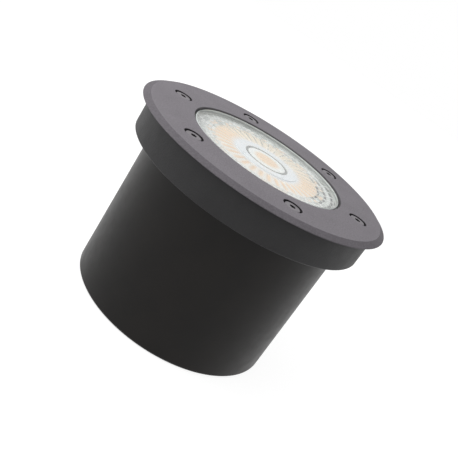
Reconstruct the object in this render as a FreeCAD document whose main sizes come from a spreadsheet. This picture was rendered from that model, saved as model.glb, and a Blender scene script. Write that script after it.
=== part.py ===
"""In-ground well light: a lamp unit with a round face plate, standing in a burial sleeve.

Millimetres. +Z is up. The origin is the centre of the sleeve's underside.
"""
import FreeCAD, Part
import os
import re

import Sketcher

# ---------------------------------------------------------------------------------------
# Driving sizes, in millimetres, degrees or counts
# ---------------------------------------------------------------------------------------
SIZES = {
    # burial sleeve
    "sleeve_height": 88.1,
    "sleeve_wall": 3.0,
    "sleeve_floor": 4.0,
    "sleeve_foot_chamfer": 1.2,
    "drain_hole_radius": 4.0,
    "drain_circle_radius": 42.0,
    "drain_hole_count": 5,
    "rim_gap": 0.3,             # sleeve rim to the bosses that land on it
    "rim_clearance": 0.4,       # sleeve's side to the collar's skirt
    "rim_step": 0.8,            # how far the rim stands back from the sleeve's side
    "rim_shoulder_gap": 0.8,    # the rim's shoulder to the collar above it
    # cable way through the sleeve floor, under the gland
    "grommet_bore": 5.0,
    "grommet_neck": 3.0,        # rubber between its bore and the hole's edge
    "grommet_lip": 2.5,         # how far its two lips reach past the hole
    "grommet_lip_height": 1.5,
    "grommet_recess": 1.8,      # depth of the recess for the lower lip
    "slip": 0.1,                # round fit between fixed pieces
    # face plate, outwards from the lens opening and down from the face
    "lens_opening_radius": 45.9,
    "opening_chamfer": 0.4,
    "lens_lip": 3.9,            # how far the plate laps over the glass flange
    "lip_thickness": 4.2,
    "gasket_wall": 1.8,
    "gasket_fit": 0.2,
    "screw_land": 0.6,          # metal between the gasket pocket and a counterbore
    "counterbore_radius": 5.3,
    "counterbore_depth": 4.4,
    "outer_land": 3.0,          # metal between a counterbore and the spigot's side
    "spigot_gap": 0.3,
    "collar_wall": 3.7,
    "rim_overhang": 5.0,
    "bevel_width": 3.5,
    "bevel_height": 1.8,
    "edge_height": 0.4,
    "shadow_gap": 0.4,          # open line between the rim and the collar
    "plate_gap": 0.3,
    "plate_thickness": 6.5,
    # collar and bosses of the housing
    "collar_step": 10.0,        # collar's side to the sleeve's side
    "skirt_depth": 3.4,
    "boss_depth": 10.2,
    "boss_radius": 6.0,
    "web_thickness": 6.0,
    "core_count": 12,
    "core_width": 4.8,
    "core_length": 22.0,
    "core_wall": 3.2,           # metal left outside each cored pocket
    "collar_chamfer": 0.6,
    # face screws, M5 low head
    "screw_count": 6,
    "screw_radius": 2.5,
    "screw_length": 12.0,
    "screw_head_radius": 4.25,
    "screw_head_height": 3.5,
    "screw_head_chamfer": 0.4,
    "screw_point_chamfer": 0.6,
    "socket_width": 3.0,
    "socket_depth": 2.0,
    "thread_clearance": 0.05,
    "shank_clearance": 0.3,
    "head_gap": 0.2,
    "washer_radius": 4.9,
    "washer_thickness": 0.5,
    "thread_reserve": 0.7,      # thread left below the screw's point
    # glass and its gasket
    "glass_thickness": 7.7,
    "glass_recess": 0.5,
    "glass_gap": 0.6,           # open line between the glass and the plate
    "glass_chamfer": 0.5,
    "gasket_top": 0.7,
    "gasket_base": 1.2,
    "seat_gap": 0.3,
    # optic and its holder
    "optic_inset": 1.4,         # lens opening to the optic's edge
    "optic_gap": 0.3,
    "optic_flange": 2.0,
    "optic_rebate": 2.0,
    "optic_height": 29.3,
    "optic_foot_radius": 8.6,
    "optic_bulge_radius": 120.0,
    "optic_recess_radius": 7.4,
    "optic_recess_depth": 10.0,
    "holder_rim": 1.0,
    "holder_shelf": 1.1,        # how far the holder reaches under the optic's flange
    "holder_clearance": 0.5,
    # light source
    "emitter_radius": 7.0,
    "emitter_thickness": 0.6,
    "emitter_gap": 0.4,
    "led_board_width": 19.0,
    "led_board_thickness": 1.5,
    "pad_thickness": 0.5,
    "led_holder_radius": 18.5,
    "led_holder_opening": 9.2,
    "led_holder_gap": 0.3,
    "board_clearance": 0.3,
    "led_screw_circle": 15.5,
    "led_screw_count": 2,
    "small_screw_radius": 1.5,
    "small_head_radius": 2.7,
    "small_head_height": 1.6,
    "small_screw_length": 5.0,
    # heat plate and the cup that carries it
    "heat_plate_thickness": 4.0,
    "heat_plate_gap": 0.4,
    "lug_inset": 3.5,           # chamber's wall to the lugs' middle
    "heat_screw_count": 3,
    "heat_screw_length": 9.0,
    "lug_radius": 4.2,
    "ledge_width": 4.0,
    "cup_wall": 3.0,
    "cup_floor": 3.0,
    "chamber_height": 16.0,
    "fin_count": 24,
    "fin_thickness": 2.0,
    "fin_clearance": 0.8,
    # driver
    "board_gap": 0.7,           # board's edge to the lugs
    "chord_gap": 2.45,          # board's straight side to the gland's locknut
    "driver_board_thickness": 1.6,
    "post_height": 4.0,
    "post_radius": 3.0,
    "post_inset": 4.6,          # board's edge to the posts' middle
    "transformer_x": -10.0,
    "transformer_y": 15.0,
    "transformer_length": 14.0,
    "transformer_width": 12.0,
    "transformer_height": 9.0,
    "core_band": 6.0,
    "winding_step": 1.0,
    "capacitor_radius": 4.0,
    "capacitor_height": 9.0,
    "capacitor_y": -14.0,
    "capacitor_x": -5.0,
    "capacitor_pitch": 8.6,
    "inductor_x": -8.0,
    "inductor_inset": 10.1,     # board's edge to the inductor's middle
    "inductor_radius": 4.5,
    "inductor_height": 6.0,
    "inductor_waist": 1.0,
    "chip_x": -13.0,
    "chip_length": 5.0,
    "chip_width": 4.0,
    "chip_height": 1.6,
    "mains_terminal_inset": 2.0,  # board's straight side to the terminal
    "mains_terminal_length": 8.0,
    "mains_terminal_width": 16.0,
    "mains_terminal_height": 8.5,
    "mains_wire_radius": 1.4,
    "mains_wire_pitch": 5.0,
    "mains_wire_level": 2.8,
    "mains_wire_depth": 6.0,
    # leads from the driver to the light source
    "lead_inset": 6.6,          # board's edge to the leads
    "lead_pitch": 3.2,
    "lead_radius": 0.8,
    "lead_bend": 3.0,
    "lead_hole_radius": 3.5,
    "lead_terminal_length": 8.0,
    "lead_terminal_width": 9.0,
    "lead_terminal_height": 7.0,
    # cable gland, M16
    "gland_gap": 3.3,           # gland's hexagon to the lug beside it
    "gland_thread_radius": 8.0,
    "gland_hex_wall": 2.0,      # nylon between the thread and the hexagon's flats
    "gland_hex_height": 5.0,
    "gland_thread_inside": 4.5,
    "gland_nose_radius": 7.4,
    "gland_nose_length": 9.0,
    "gland_wall": 1.3,
    "gland_seal_length": 8.0,
    "cable_radius": 4.0,
    "gland_nut_wall": 2.1,      # nylon between the nose and the nut's flats
    "gland_nut_length": 13.0,
    "gland_nut_gap": 0.3,
    "gland_nut_mouth": 5.6,
    "gland_nut_running_gap": 0.08,
    "locknut_thickness": 3.0,
    "face_seal_radius": 10.6,
    "face_seal_thickness": 1.2,
    # pressure vent, M6, and earth screw, M4
    "vent_y": -24.0,
    "vent_thread_radius": 3.0,
    "vent_head_radius": 5.0,
    "vent_head_height": 3.0,
    "vent_stem_inside": 1.5,
    "vent_seal_thickness": 1.0,
    "earth_y": 24.0,
    "earth_boss_radius": 4.5,
    "earth_boss_height": 5.0,
    "earth_thread_radius": 2.0,
    "earth_head_radius": 3.6,
    "earth_head_height": 2.4,
    "earth_screw_length": 4.0,
}

# ---------------------------------------------------------------------------------------
# Levels and radii that follow from the driving sizes
# ---------------------------------------------------------------------------------------
BOSS_BOTTOM = "(sleeve_height + rim_gap)"
WEB_TOP = f"({BOSS_BOTTOM} + boss_depth)"
WEB_UNDER = f"({WEB_TOP} - web_thickness)"
PLATE_UNDER = f"({WEB_TOP} + plate_gap)"
FACE = f"({PLATE_UNDER} + plate_thickness)"
RIM_UNDER = f"({FACE} - bevel_height - edge_height)"
COLLAR_TOP = f"({RIM_UNDER} - shadow_gap)"
COLLAR_BOTTOM = f"({BOSS_BOTTOM} - skirt_depth)"
LIP_UNDER = f"({FACE} - lip_thickness)"
COUNTERBORE_FLOOR = f"({FACE} - counterbore_depth)"
HEAD_UNDER = f"({COUNTERBORE_FLOOR} + washer_thickness + head_gap)"
GLASS_TOP = f"({FACE} - glass_recess)"
GLASS_BOTTOM = f"({GLASS_TOP} - glass_thickness)"
FLANGE_TOP = f"({LIP_UNDER} - gasket_top)"
GASKET_BOTTOM = f"({GLASS_BOTTOM} - gasket_base)"
SEAT = f"({GASKET_BOTTOM} - seat_gap)"
OPTIC_TOP = f"({GLASS_BOTTOM} - optic_gap)"
OPTIC_FLANGE_UNDER = f"({OPTIC_TOP} - optic_flange)"
OPTIC_BOTTOM = f"({OPTIC_TOP} - optic_height)"
EMITTER_TOP = f"({OPTIC_BOTTOM} - emitter_gap)"
LED_BOARD_TOP = f"({EMITTER_TOP} - emitter_thickness)"
PAD_TOP = f"({LED_BOARD_TOP} - led_board_thickness)"
HEAT_TOP = f"({PAD_TOP} - pad_thickness)"
LED_HOLDER_TOP = f"({OPTIC_BOTTOM} - led_holder_gap)"
LEDGE = f"({HEAT_TOP} - heat_plate_thickness)"
CUP_FLOOR = f"({LEDGE} - chamber_height)"
CUP_BOTTOM = f"({CUP_FLOOR} - cup_floor)"
DRIVER_UNDER = f"({CUP_FLOOR} + post_height)"
DRIVER_TOP = f"({DRIVER_UNDER} + driver_board_thickness)"
EARTH_TOP = f"({CUP_FLOOR} + earth_boss_height)"
HEX_TOP = f"({CUP_BOTTOM} - face_seal_thickness)"
HEX_BOTTOM = f"({HEX_TOP} - gland_hex_height)"
NUT_TOP = f"({HEX_BOTTOM} - gland_nut_gap)"
NUT_BOTTOM = f"({NUT_TOP} - gland_nut_length)"
NOSE_END = f"({HEX_BOTTOM} - gland_nose_length)"
VENT_HEAD_TOP = f"({CUP_BOTTOM} - vent_seal_thickness)"

GLASS_RADIUS = "(lens_opening_radius - glass_gap)"
FLANGE_RADIUS = "(lens_opening_radius + lens_lip)"
GASKET_RADIUS = f"({FLANGE_RADIUS} + gasket_wall)"
POCKET_RADIUS = f"({GASKET_RADIUS} + gasket_fit)"
SCREW_CIRCLE = f"({POCKET_RADIUS} + screw_land + counterbore_radius)"
SPIGOT_RADIUS = f"({SCREW_CIRCLE} + counterbore_radius + outer_land)"
COLLAR_INNER = f"({SPIGOT_RADIUS} + spigot_gap)"
COLLAR_RADIUS = f"({COLLAR_INNER} + collar_wall)"
PLATE_RADIUS = f"({COLLAR_RADIUS} + rim_overhang)"
SLEEVE_RADIUS = f"({COLLAR_RADIUS} - collar_step)"
SLEEVE_INNER = f"({SLEEVE_RADIUS} - sleeve_wall)"
SKIRT_INNER = f"({SLEEVE_RADIUS} + rim_clearance)"
FIN_TIP = f"({SLEEVE_INNER} - fin_clearance)"
OPTIC_RADIUS = "(lens_opening_radius - optic_inset)"
OPTIC_BODY_RADIUS = f"({OPTIC_RADIUS} - optic_rebate)"
HOLDER_RADIUS = f"({OPTIC_RADIUS} + holder_rim)"
CUP_INNER = f"({HOLDER_RADIUS} + holder_clearance)"
CUP_RADIUS = f"({CUP_INNER} + cup_wall)"
CHAMBER_RADIUS = f"({CUP_INNER} - ledge_width)"
LUG_CIRCLE = f"({CHAMBER_RADIUS} - lug_inset)"
BOARD_RADIUS = f"({LUG_CIRCLE} - lug_radius - board_gap)"
POST_CIRCLE = f"({BOARD_RADIUS} - post_inset)"
LEAD_X = f"(lead_inset - {BOARD_RADIUS})"
INDUCTOR_Y = f"(inductor_inset - {BOARD_RADIUS})"
GLAND_HEX_WIDTH = "(2 * (gland_thread_radius + gland_hex_wall))"
GLAND_NUT_WIDTH = "(2 * (gland_nose_radius + gland_nut_wall))"
CABLE_WAY_X = f"({LUG_CIRCLE} - lug_radius - {GLAND_HEX_WIDTH} / 2 - gland_gap)"
BOARD_CHORD = f"({CABLE_WAY_X} - {GLAND_HEX_WIDTH} / 2 / cos(30) - chord_gap)"
MAINS_TERMINAL_X = f"({BOARD_CHORD} - mains_terminal_inset - mains_terminal_length / 2)"
GASKET_INNER = f"({CUP_INNER} + slip)"
HEAT_PLATE_RADIUS = f"({CUP_INNER} - heat_plate_gap)"
GLAND_BORE = "(gland_nose_radius - gland_wall)"
GROMMET_HOLE = "(grommet_bore + grommet_neck)"
THREAD_HOLE = "(screw_radius + thread_clearance)"
SMALL_THREAD_HOLE = "(small_screw_radius + thread_clearance)"
SMALL_CLEAR_HOLE = "(small_screw_radius + slip)"

document = FreeCAD.newDocument("well_light")
sheet = document.addObject("Spreadsheet::Sheet", "sizes")


# ---------------------------------------------------------------------------------------
# Sheet, sketches and features
# ---------------------------------------------------------------------------------------
def fill_sheet():
    """Write every driving size to the sheet, one row each."""
    for row, (name, value) in enumerate(SIZES.items(), start=1):
        sheet.set(f"A{row}", name.replace("_", " "))
        sheet.set(f"B{row}", str(value))
        sheet.setAlias(f"B{row}", name)
    document.recompute()


def bound(text):
    """The expression, with each size name pointing at its cell."""
    return re.sub(r"[a-z_]+", lambda m: f"sizes.{m[0]}" if m[0] in SIZES else m[0], str(text))


def value(text):
    """What an expression is worth now."""
    return float(sheet.evalExpression(bound(text)))


def new_body(name):
    """An empty body whose label names its file."""
    body = document.addObject("PartDesign::Body", name)
    body.Label = name
    return body


def origin_part(body, role):
    """One of the body's own planes or axes."""
    return next(item for item in body.Origin.OriginFeatures if item.Role == role)


def new_sketch(body, name, role="XY_Plane", level="0"):
    """A sketch on an origin plane, raised to a level along the plane's normal."""
    sketch = body.newObject("Sketcher::SketchObject", f"{body.Name}_{name}_sketch")
    sketch.AttachmentSupport = [(origin_part(body, role), "")]
    sketch.MapMode = "FlatFace"
    sketch.setExpression("AttachmentOffset.Base.z", bound(level))
    return sketch


def fix_point(sketch, geometry, position, place, tag):
    """Hold a sketch point at a place given by two expressions."""
    for axis, text in zip("XY", place):
        rule = Sketcher.Constraint(f"Distance{axis}", -1, 1, geometry, position, value(text))
        rule.Name = f"{tag}_{axis.lower()}"
        sketch.addConstraint(rule)
        sketch.setExpression(f"Constraints.{rule.Name}", bound(text))


def add_loop(sketch, points, tag="p"):
    """A closed loop of straight edges through points given by expressions."""
    places = [FreeCAD.Vector(value(x), value(y), 0) for x, y in points]
    edges = [sketch.addGeometry(Part.LineSegment(start, end), False)
             for start, end in zip(places, places[1:] + places[:1])]
    for here, after in zip(edges, edges[1:] + edges[:1]):
        sketch.addConstraint(Sketcher.Constraint("Coincident", here, 2, after, 1))
    for number, (edge, place) in enumerate(zip(edges, points)):
        fix_point(sketch, edge, 1, place, f"{tag}{number}")
    return edges


def add_circle(sketch, centre, radius, tag="c"):
    """A circle with its centre and radius given by expressions."""
    middle = FreeCAD.Vector(value(centre[0]), value(centre[1]), 0)
    normal = FreeCAD.Vector(0, 0, 1)
    circle = sketch.addGeometry(Part.Circle(middle, normal, value(radius)), False)
    fix_point(sketch, circle, 3, centre, tag)
    rule = Sketcher.Constraint("Radius", circle, value(radius))
    rule.Name = f"{tag}_r"
    sketch.addConstraint(rule)
    sketch.setExpression(f"Constraints.{rule.Name}", bound(radius))


def rectangle(x_from, x_to, y_from, y_to):
    """Corners of a rectangle, as expressions."""
    return [(x_from, y_from), (x_to, y_from), (x_to, y_to), (x_from, y_to)]


def box_about(x, y, length, width):
    """Corners of a rectangle about a middle point, as expressions."""
    return rectangle(f"{x} - {length} / 2", f"{x} + {length} / 2",
                     f"{y} - {width} / 2", f"{y} + {width} / 2")


def hexagon(width, x="0", y="0"):
    """Corners of a hexagon of a width across flats, as expressions."""
    return [(f"{x} + {width} / 2 / cos(30) * cos({60 * k + 30})",
             f"{y} + {width} / 2 / cos(30) * sin({60 * k + 30})") for k in range(6)]


def revolved(body, name, points):
    """Turn a closed outline of (radius, level) points about the body's Z axis."""
    sketch = new_sketch(body, name, "XZ_Plane")
    add_loop(sketch, points)
    feature = body.newObject("PartDesign::Revolution", f"{body.Name}_{name}")
    feature.Profile = sketch
    feature.ReferenceAxis = (sketch, ["V_Axis"])
    feature.Angle = 360
    document.recompute()
    return feature


def pad(body, name, sketch, length):
    """Raise a sketch upwards by a length."""
    feature = body.newObject("PartDesign::Pad", f"{body.Name}_{name}")
    feature.Profile = sketch
    feature.setExpression("Length", bound(length))
    document.recompute()
    return feature


def pocket(body, name, sketch, depth):
    """Cut downwards from a sketch by a depth, and see that metal went."""
    before = body.Shape.Volume
    feature = body.newObject("PartDesign::Pocket", f"{body.Name}_{name}")
    feature.Profile = sketch
    feature.setExpression("Length", bound(depth))
    document.recompute()
    if body.Shape.Volume >= before:
        raise RuntimeError(f"{body.Name}: {name} cuts nothing")
    return feature


def pad_circle(body, name, centre, radius, level, length):
    """A round pad."""
    sketch = new_sketch(body, name, level=level)
    add_circle(sketch, centre, radius)
    return pad(body, name, sketch, length)


def pocket_circle(body, name, centre, radius, level, depth):
    """A round hole, cut downwards from a level."""
    sketch = new_sketch(body, name, level=level)
    add_circle(sketch, centre, radius)
    return pocket(body, name, sketch, depth)


def pad_outline(body, name, points, level, length):
    """A straight-sided pad."""
    sketch = new_sketch(body, name, level=level)
    add_loop(sketch, points)
    return pad(body, name, sketch, length)


def pocket_outline(body, name, points, level, depth):
    """A straight-sided pocket, cut downwards from a level."""
    sketch = new_sketch(body, name, level=level)
    add_loop(sketch, points)
    return pocket(body, name, sketch, depth)


def around(body, name, features, count):
    """Repeat features evenly about the body's Z axis."""
    pattern = body.newObject("PartDesign::PolarPattern", f"{body.Name}_{name}")
    pattern.Originals = features
    pattern.Axis = (origin_part(body, "Z_Axis"), [""])
    pattern.Angle = 360
    pattern.setExpression("Occurrences", bound(count))
    body.Tip = pattern
    document.recompute()
    return pattern


def stand_at(body, x="0", y="0", z="0"):
    """Bind a body's place to expressions."""
    for axis, text in zip("xyz", (x, y, z)):
        body.setExpression(f"Placement.Base.{axis}", bound(text))


def turned_body(name, points):
    """A piece that is one turned outline."""
    body = new_body(name)
    revolved(body, "turned", points)
    return body


def ring_points(inner, outer, low, high):
    """Outline of a plain ring."""
    return [(inner, low), (outer, low), (outer, high), (inner, high)]


# ---------------------------------------------------------------------------------------
# Sleeve
# ---------------------------------------------------------------------------------------
def make_burial_sleeve():
    """Plastic can that is set in the ground: rebated rim, drain holes and a cable way."""
    shoulder = f"{COLLAR_BOTTOM} - rim_shoulder_gap"
    body = turned_body("burial_sleeve", [
        ("0", "0"),
        (f"{SLEEVE_RADIUS} - sleeve_foot_chamfer", "0"),
        (SLEEVE_RADIUS, "sleeve_foot_chamfer"),
        (SLEEVE_RADIUS, shoulder),
        (f"{SLEEVE_RADIUS} - rim_step", shoulder),
        (f"{SLEEVE_RADIUS} - rim_step", "sleeve_height"),
        (SLEEVE_INNER, "sleeve_height"),
        (SLEEVE_INNER, "sleeve_floor"),
        ("0", "sleeve_floor"),
    ])
    pocket_circle(body, "cable_way", (CABLE_WAY_X, "0"), GROMMET_HOLE,
                  "sleeve_floor", "sleeve_floor")
    lip = f"{GROMMET_HOLE} + grommet_lip + slip"
    pocket_circle(body, "cable_recess", (CABLE_WAY_X, "0"), lip,
                  "grommet_recess", "grommet_recess")
    drain = pocket_circle(body, "drain", ("-drain_circle_radius", "0"), "drain_hole_radius",
                          "sleeve_floor", "sleeve_floor")
    around(body, "drains", [drain], "drain_hole_count")
    return body


def make_cable_grommet():
    """Rubber grommet that lines the cable way."""
    lip = f"{GROMMET_HOLE} + grommet_lip"
    neck = f"{GROMMET_HOLE} - slip"
    body = turned_body("cable_grommet", [
        ("grommet_bore", "grommet_recess - grommet_lip_height"),
        (lip, "grommet_recess - grommet_lip_height"),
        (lip, "grommet_recess"),
        (neck, "grommet_recess"),
        (neck, "sleeve_floor"),
        (lip, "sleeve_floor"),
        (lip, "sleeve_floor + grommet_lip_height"),
        ("grommet_bore", "sleeve_floor + grommet_lip_height"),
    ])
    stand_at(body, x=CABLE_WAY_X)
    return body


# ---------------------------------------------------------------------------------------
# Housing
# ---------------------------------------------------------------------------------------
def make_lamp_housing():
    """Die-cast housing: collar, six screw bosses, finned cup with the driver chamber."""
    body = turned_body("lamp_housing", [
        ("0", CUP_BOTTOM),
        (CUP_RADIUS, CUP_BOTTOM),
        (CUP_RADIUS, WEB_UNDER),
        (SKIRT_INNER, WEB_UNDER),
        (SKIRT_INNER, COLLAR_BOTTOM),
        (f"{COLLAR_RADIUS} - collar_chamfer", COLLAR_BOTTOM),
        (COLLAR_RADIUS, f"{COLLAR_BOTTOM} + collar_chamfer"),
        (COLLAR_RADIUS, COLLAR_TOP),
        (COLLAR_INNER, COLLAR_TOP),
        (COLLAR_INNER, WEB_TOP),
        (POCKET_RADIUS, WEB_TOP),
        (POCKET_RADIUS, SEAT),
        (CUP_INNER, SEAT),
        (CUP_INNER, LEDGE),
        (CHAMBER_RADIUS, LEDGE),
        (CHAMBER_RADIUS, CUP_FLOOR),
        ("0", CUP_FLOOR),
    ])
    add_fins(body)
    add_face_bosses(body)
    add_chamber_fittings(body)
    add_floor_holes(body)
    return body


def add_face_bosses(body):
    """Bosses for the face screws, and the pockets cored out of the collar between ribs."""
    centre = (SCREW_CIRCLE, "0")
    boss = pad_circle(body, "boss", centre, "boss_radius", BOSS_BOTTOM,
                      f"{WEB_TOP} - {BOSS_BOTTOM}")
    around(body, "bosses", [boss], "screw_count")
    depth = f"{WEB_TOP} - {HEAD_UNDER} + screw_length + thread_reserve"
    thread = pocket_circle(body, "thread", centre, THREAD_HOLE, WEB_TOP, depth)
    around(body, "threads", [thread], "screw_count")
    outer = f"{COLLAR_RADIUS} - core_wall"
    outline = rectangle(f"{outer} - core_width", outer, "-core_length / 2", "core_length / 2")
    core = pocket_outline(body, "core", outline, WEB_UNDER, f"{WEB_UNDER} - {COLLAR_BOTTOM}")
    around(body, "cores", [core], "core_count")


def add_fins(body):
    """Upright cooling fins round the cup."""
    outline = rectangle(f"{CUP_RADIUS} - cup_wall / 2", FIN_TIP,
                        "-fin_thickness / 2", "fin_thickness / 2")
    fin = pad_outline(body, "fin", outline, CUP_BOTTOM, f"{WEB_UNDER} - {CUP_BOTTOM}")
    around(body, "fins", [fin], "fin_count")


def add_chamber_fittings(body):
    """Lugs under the heat plate, driver posts and the earth boss, with their threads."""
    lug_place = (LUG_CIRCLE, "0")
    lug = pad_circle(body, "lug", lug_place, "lug_radius", CUP_FLOOR, "chamber_height")
    around(body, "lugs", [lug], "heat_screw_count")
    tapped = pocket_circle(body, "lug_thread", lug_place, SMALL_THREAD_HOLE, LEDGE,
                           "heat_screw_length")
    around(body, "lug_threads", [tapped], "heat_screw_count")
    posts = new_sketch(body, "posts", level=CUP_FLOOR)
    taps = new_sketch(body, "post_threads", level=DRIVER_UNDER)
    for number, place in enumerate(post_places()):
        add_circle(posts, place, "post_radius", f"c{number}")
        add_circle(taps, place, SMALL_THREAD_HOLE, f"c{number}")
    pad(body, "posts", posts, "post_height")
    pocket(body, "post_threads", taps, "post_height")
    earth = (CABLE_WAY_X, "earth_y")
    pad_circle(body, "earth_boss", earth, "earth_boss_radius", CUP_FLOOR, "earth_boss_height")
    pocket_circle(body, "earth_thread", earth, "earth_thread_radius + thread_clearance",
                  EARTH_TOP, "earth_boss_height")


def add_floor_holes(body):
    """Holes through the cup's floor for the cable gland and the pressure vent."""
    through = "cup_floor"
    pocket_circle(body, "gland_hole", (CABLE_WAY_X, "0"),
                  "gland_thread_radius + slip", CUP_FLOOR, through)
    pocket_circle(body, "vent_hole", (CABLE_WAY_X, "vent_y"),
                  "vent_thread_radius + slip", CUP_FLOOR, through)


# ---------------------------------------------------------------------------------------
# Face: plate, glass, gasket, washers and screws
# ---------------------------------------------------------------------------------------
def make_face_plate():
    """Cast ring with a bevelled rim, a spigot inside the collar and six counterbores."""
    body = turned_body("face_plate", [
        ("lens_opening_radius", f"{FACE} - opening_chamfer"),
        ("lens_opening_radius", LIP_UNDER),
        (POCKET_RADIUS, LIP_UNDER),
        (POCKET_RADIUS, PLATE_UNDER),
        (SPIGOT_RADIUS, PLATE_UNDER),
        (SPIGOT_RADIUS, RIM_UNDER),
        (PLATE_RADIUS, RIM_UNDER),
        (PLATE_RADIUS, f"{FACE} - bevel_height"),
        (f"{PLATE_RADIUS} - bevel_width", FACE),
        ("lens_opening_radius + opening_chamfer", FACE),
    ])
    centre = (SCREW_CIRCLE, "0")
    bore = pocket_circle(body, "counterbore", centre, "counterbore_radius", FACE,
                         "counterbore_depth")
    around(body, "counterbores", [bore], "screw_count")
    hole = pocket_circle(body, "screw_hole", centre, "screw_radius + shank_clearance",
                         COUNTERBORE_FLOOR, f"{COUNTERBORE_FLOOR} - {PLATE_UNDER}")
    around(body, "screw_holes", [hole], "screw_count")
    return body


def make_lens_glass():
    """Toughened glass disc with a stepped flange under the plate's lip."""
    return turned_body("lens_glass", [
        ("0", GLASS_BOTTOM),
        (FLANGE_RADIUS, GLASS_BOTTOM),
        (FLANGE_RADIUS, FLANGE_TOP),
        (GLASS_RADIUS, FLANGE_TOP),
        (GLASS_RADIUS, f"{GLASS_TOP} - glass_chamfer"),
        (f"{GLASS_RADIUS} - glass_chamfer", GLASS_TOP),
        ("0", GLASS_TOP),
    ])


def make_lens_gasket():
    """Silicone channel that wraps the glass flange."""
    return turned_body("lens_gasket", [
        (GASKET_INNER, GASKET_BOTTOM),
        (GASKET_RADIUS, GASKET_BOTTOM),
        (GASKET_RADIUS, LIP_UNDER),
        (f"{GLASS_RADIUS} + slip", LIP_UNDER),
        (f"{GLASS_RADIUS} + slip", FLANGE_TOP),
        (f"{FLANGE_RADIUS} + slip", FLANGE_TOP),
        (f"{FLANGE_RADIUS} + slip", GLASS_BOTTOM),
        (GASKET_INNER, GLASS_BOTTOM),
    ])


def make_screw_washers():
    """Six sealing washers, one in each counterbore."""
    body = new_body("screw_washers")
    sketch = new_sketch(body, "ring", level=COUNTERBORE_FLOOR)
    add_circle(sketch, (SCREW_CIRCLE, "0"), "washer_radius", "outer")
    add_circle(sketch, (SCREW_CIRCLE, "0"), "screw_radius + shank_clearance", "inner")
    ring = pad(body, "ring", sketch, "washer_thickness")
    around(body, "rings", [ring], "screw_count")
    return body


def make_face_screw(number):
    """Low-head socket screw, standing in its counterbore."""
    body = turned_body(f"face_screw_{number}", [
        ("0", "-screw_length"),
        ("screw_radius - screw_point_chamfer", "-screw_length"),
        ("screw_radius", "-screw_length + screw_point_chamfer"),
        ("screw_radius", "0"),
        ("screw_head_radius", "0"),
        ("screw_head_radius", "screw_head_height - screw_head_chamfer"),
        ("screw_head_radius - screw_head_chamfer", "screw_head_height"),
        ("0", "screw_head_height"),
    ])
    pocket_outline(body, "socket", hexagon("socket_width"), "screw_head_height",
                   "socket_depth")
    turn = f"{number - 1} * 360 / screw_count"
    stand_at(body, f"{SCREW_CIRCLE} * cos({turn})", f"{SCREW_CIRCLE} * sin({turn})", HEAD_UNDER)
    return body


# ---------------------------------------------------------------------------------------
# Optic and light source
# ---------------------------------------------------------------------------------------
def make_optic_lens():
    """Clear bowl-shaped optic: flat top, flange, bulging side and a recess over the emitter."""
    body = new_body("optic_lens")
    sketch = new_sketch(body, "turned", "XZ_Plane")
    points = [
        ("0", f"{OPTIC_BOTTOM} + optic_recess_depth"),
        ("optic_recess_radius", f"{OPTIC_BOTTOM} + optic_recess_depth"),
        ("optic_recess_radius", OPTIC_BOTTOM),
        ("optic_foot_radius", OPTIC_BOTTOM),
        (OPTIC_BODY_RADIUS, OPTIC_FLANGE_UNDER),
        (OPTIC_RADIUS, OPTIC_FLANGE_UNDER),
        (OPTIC_RADIUS, OPTIC_TOP),
        ("0", OPTIC_TOP),
    ]
    add_bulging_loop(sketch, points, 3, "optic_bulge_radius")
    feature = body.newObject("PartDesign::Revolution", "optic_lens_turned")
    feature.Profile = sketch
    feature.ReferenceAxis = (sketch, ["V_Axis"])
    feature.Angle = 360
    document.recompute()
    return body


def add_bulging_loop(sketch, points, arc_number, radius):
    """A closed loop whose numbered edge is an arc that bulges to its right-hand side."""
    places = [FreeCAD.Vector(value(x), value(y), 0) for x, y in points]
    ends = places[1:] + places[:1]
    for number, (start, end) in enumerate(zip(places, ends)):
        edge = Part.LineSegment(start, end)
        if number == arc_number:
            edge = arc_between(start, end, value(radius))
        sketch.addGeometry(edge, False)
    for number, place in enumerate(points):
        after = (number + 1) % len(points)
        sketch.addConstraint(Sketcher.Constraint("Coincident", number, 2, after, 1))
        fix_point(sketch, number, 1, place, f"p{number}")
    rule = Sketcher.Constraint("Radius", arc_number, value(radius))
    rule.Name = "bulge"
    sketch.addConstraint(rule)
    sketch.setExpression("Constraints.bulge", bound(radius))


def arc_between(start, end, radius):
    """The flatter arc of a radius between two points, bulging to the right of the chord."""
    chord = end - start
    middle = (start + end) * 0.5
    right = FreeCAD.Vector(chord.y, -chord.x, 0).normalize()
    rise = radius - (radius ** 2 - (chord.Length / 2) ** 2) ** 0.5
    return Part.Arc(start, middle + right * rise, end)


def make_optic_holder():
    """Ring-shaped holder that carries the optic's flange above the heat plate."""
    shelf = f"{OPTIC_RADIUS} - holder_shelf"
    return turned_body("optic_holder", [
        (shelf, HEAT_TOP),
        (HOLDER_RADIUS, HEAT_TOP),
        (HOLDER_RADIUS, OPTIC_TOP),
        (f"{OPTIC_RADIUS} + slip", OPTIC_TOP),
        (f"{OPTIC_RADIUS} + slip", OPTIC_FLANGE_UNDER),
        (shelf, OPTIC_FLANGE_UNDER),
    ])


def make_led_emitter():
    """Round phosphor field of the light source."""
    return turned_body("led_emitter", ring_points("0", "emitter_radius",
                                                  LED_BOARD_TOP, EMITTER_TOP))


def make_square_piece(name, width, level, thickness):
    """A flat square piece about the middle axis."""
    body = new_body(name)
    pad_outline(body, "plate", box_about("0", "0", width, width), level, thickness)
    return body


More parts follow.
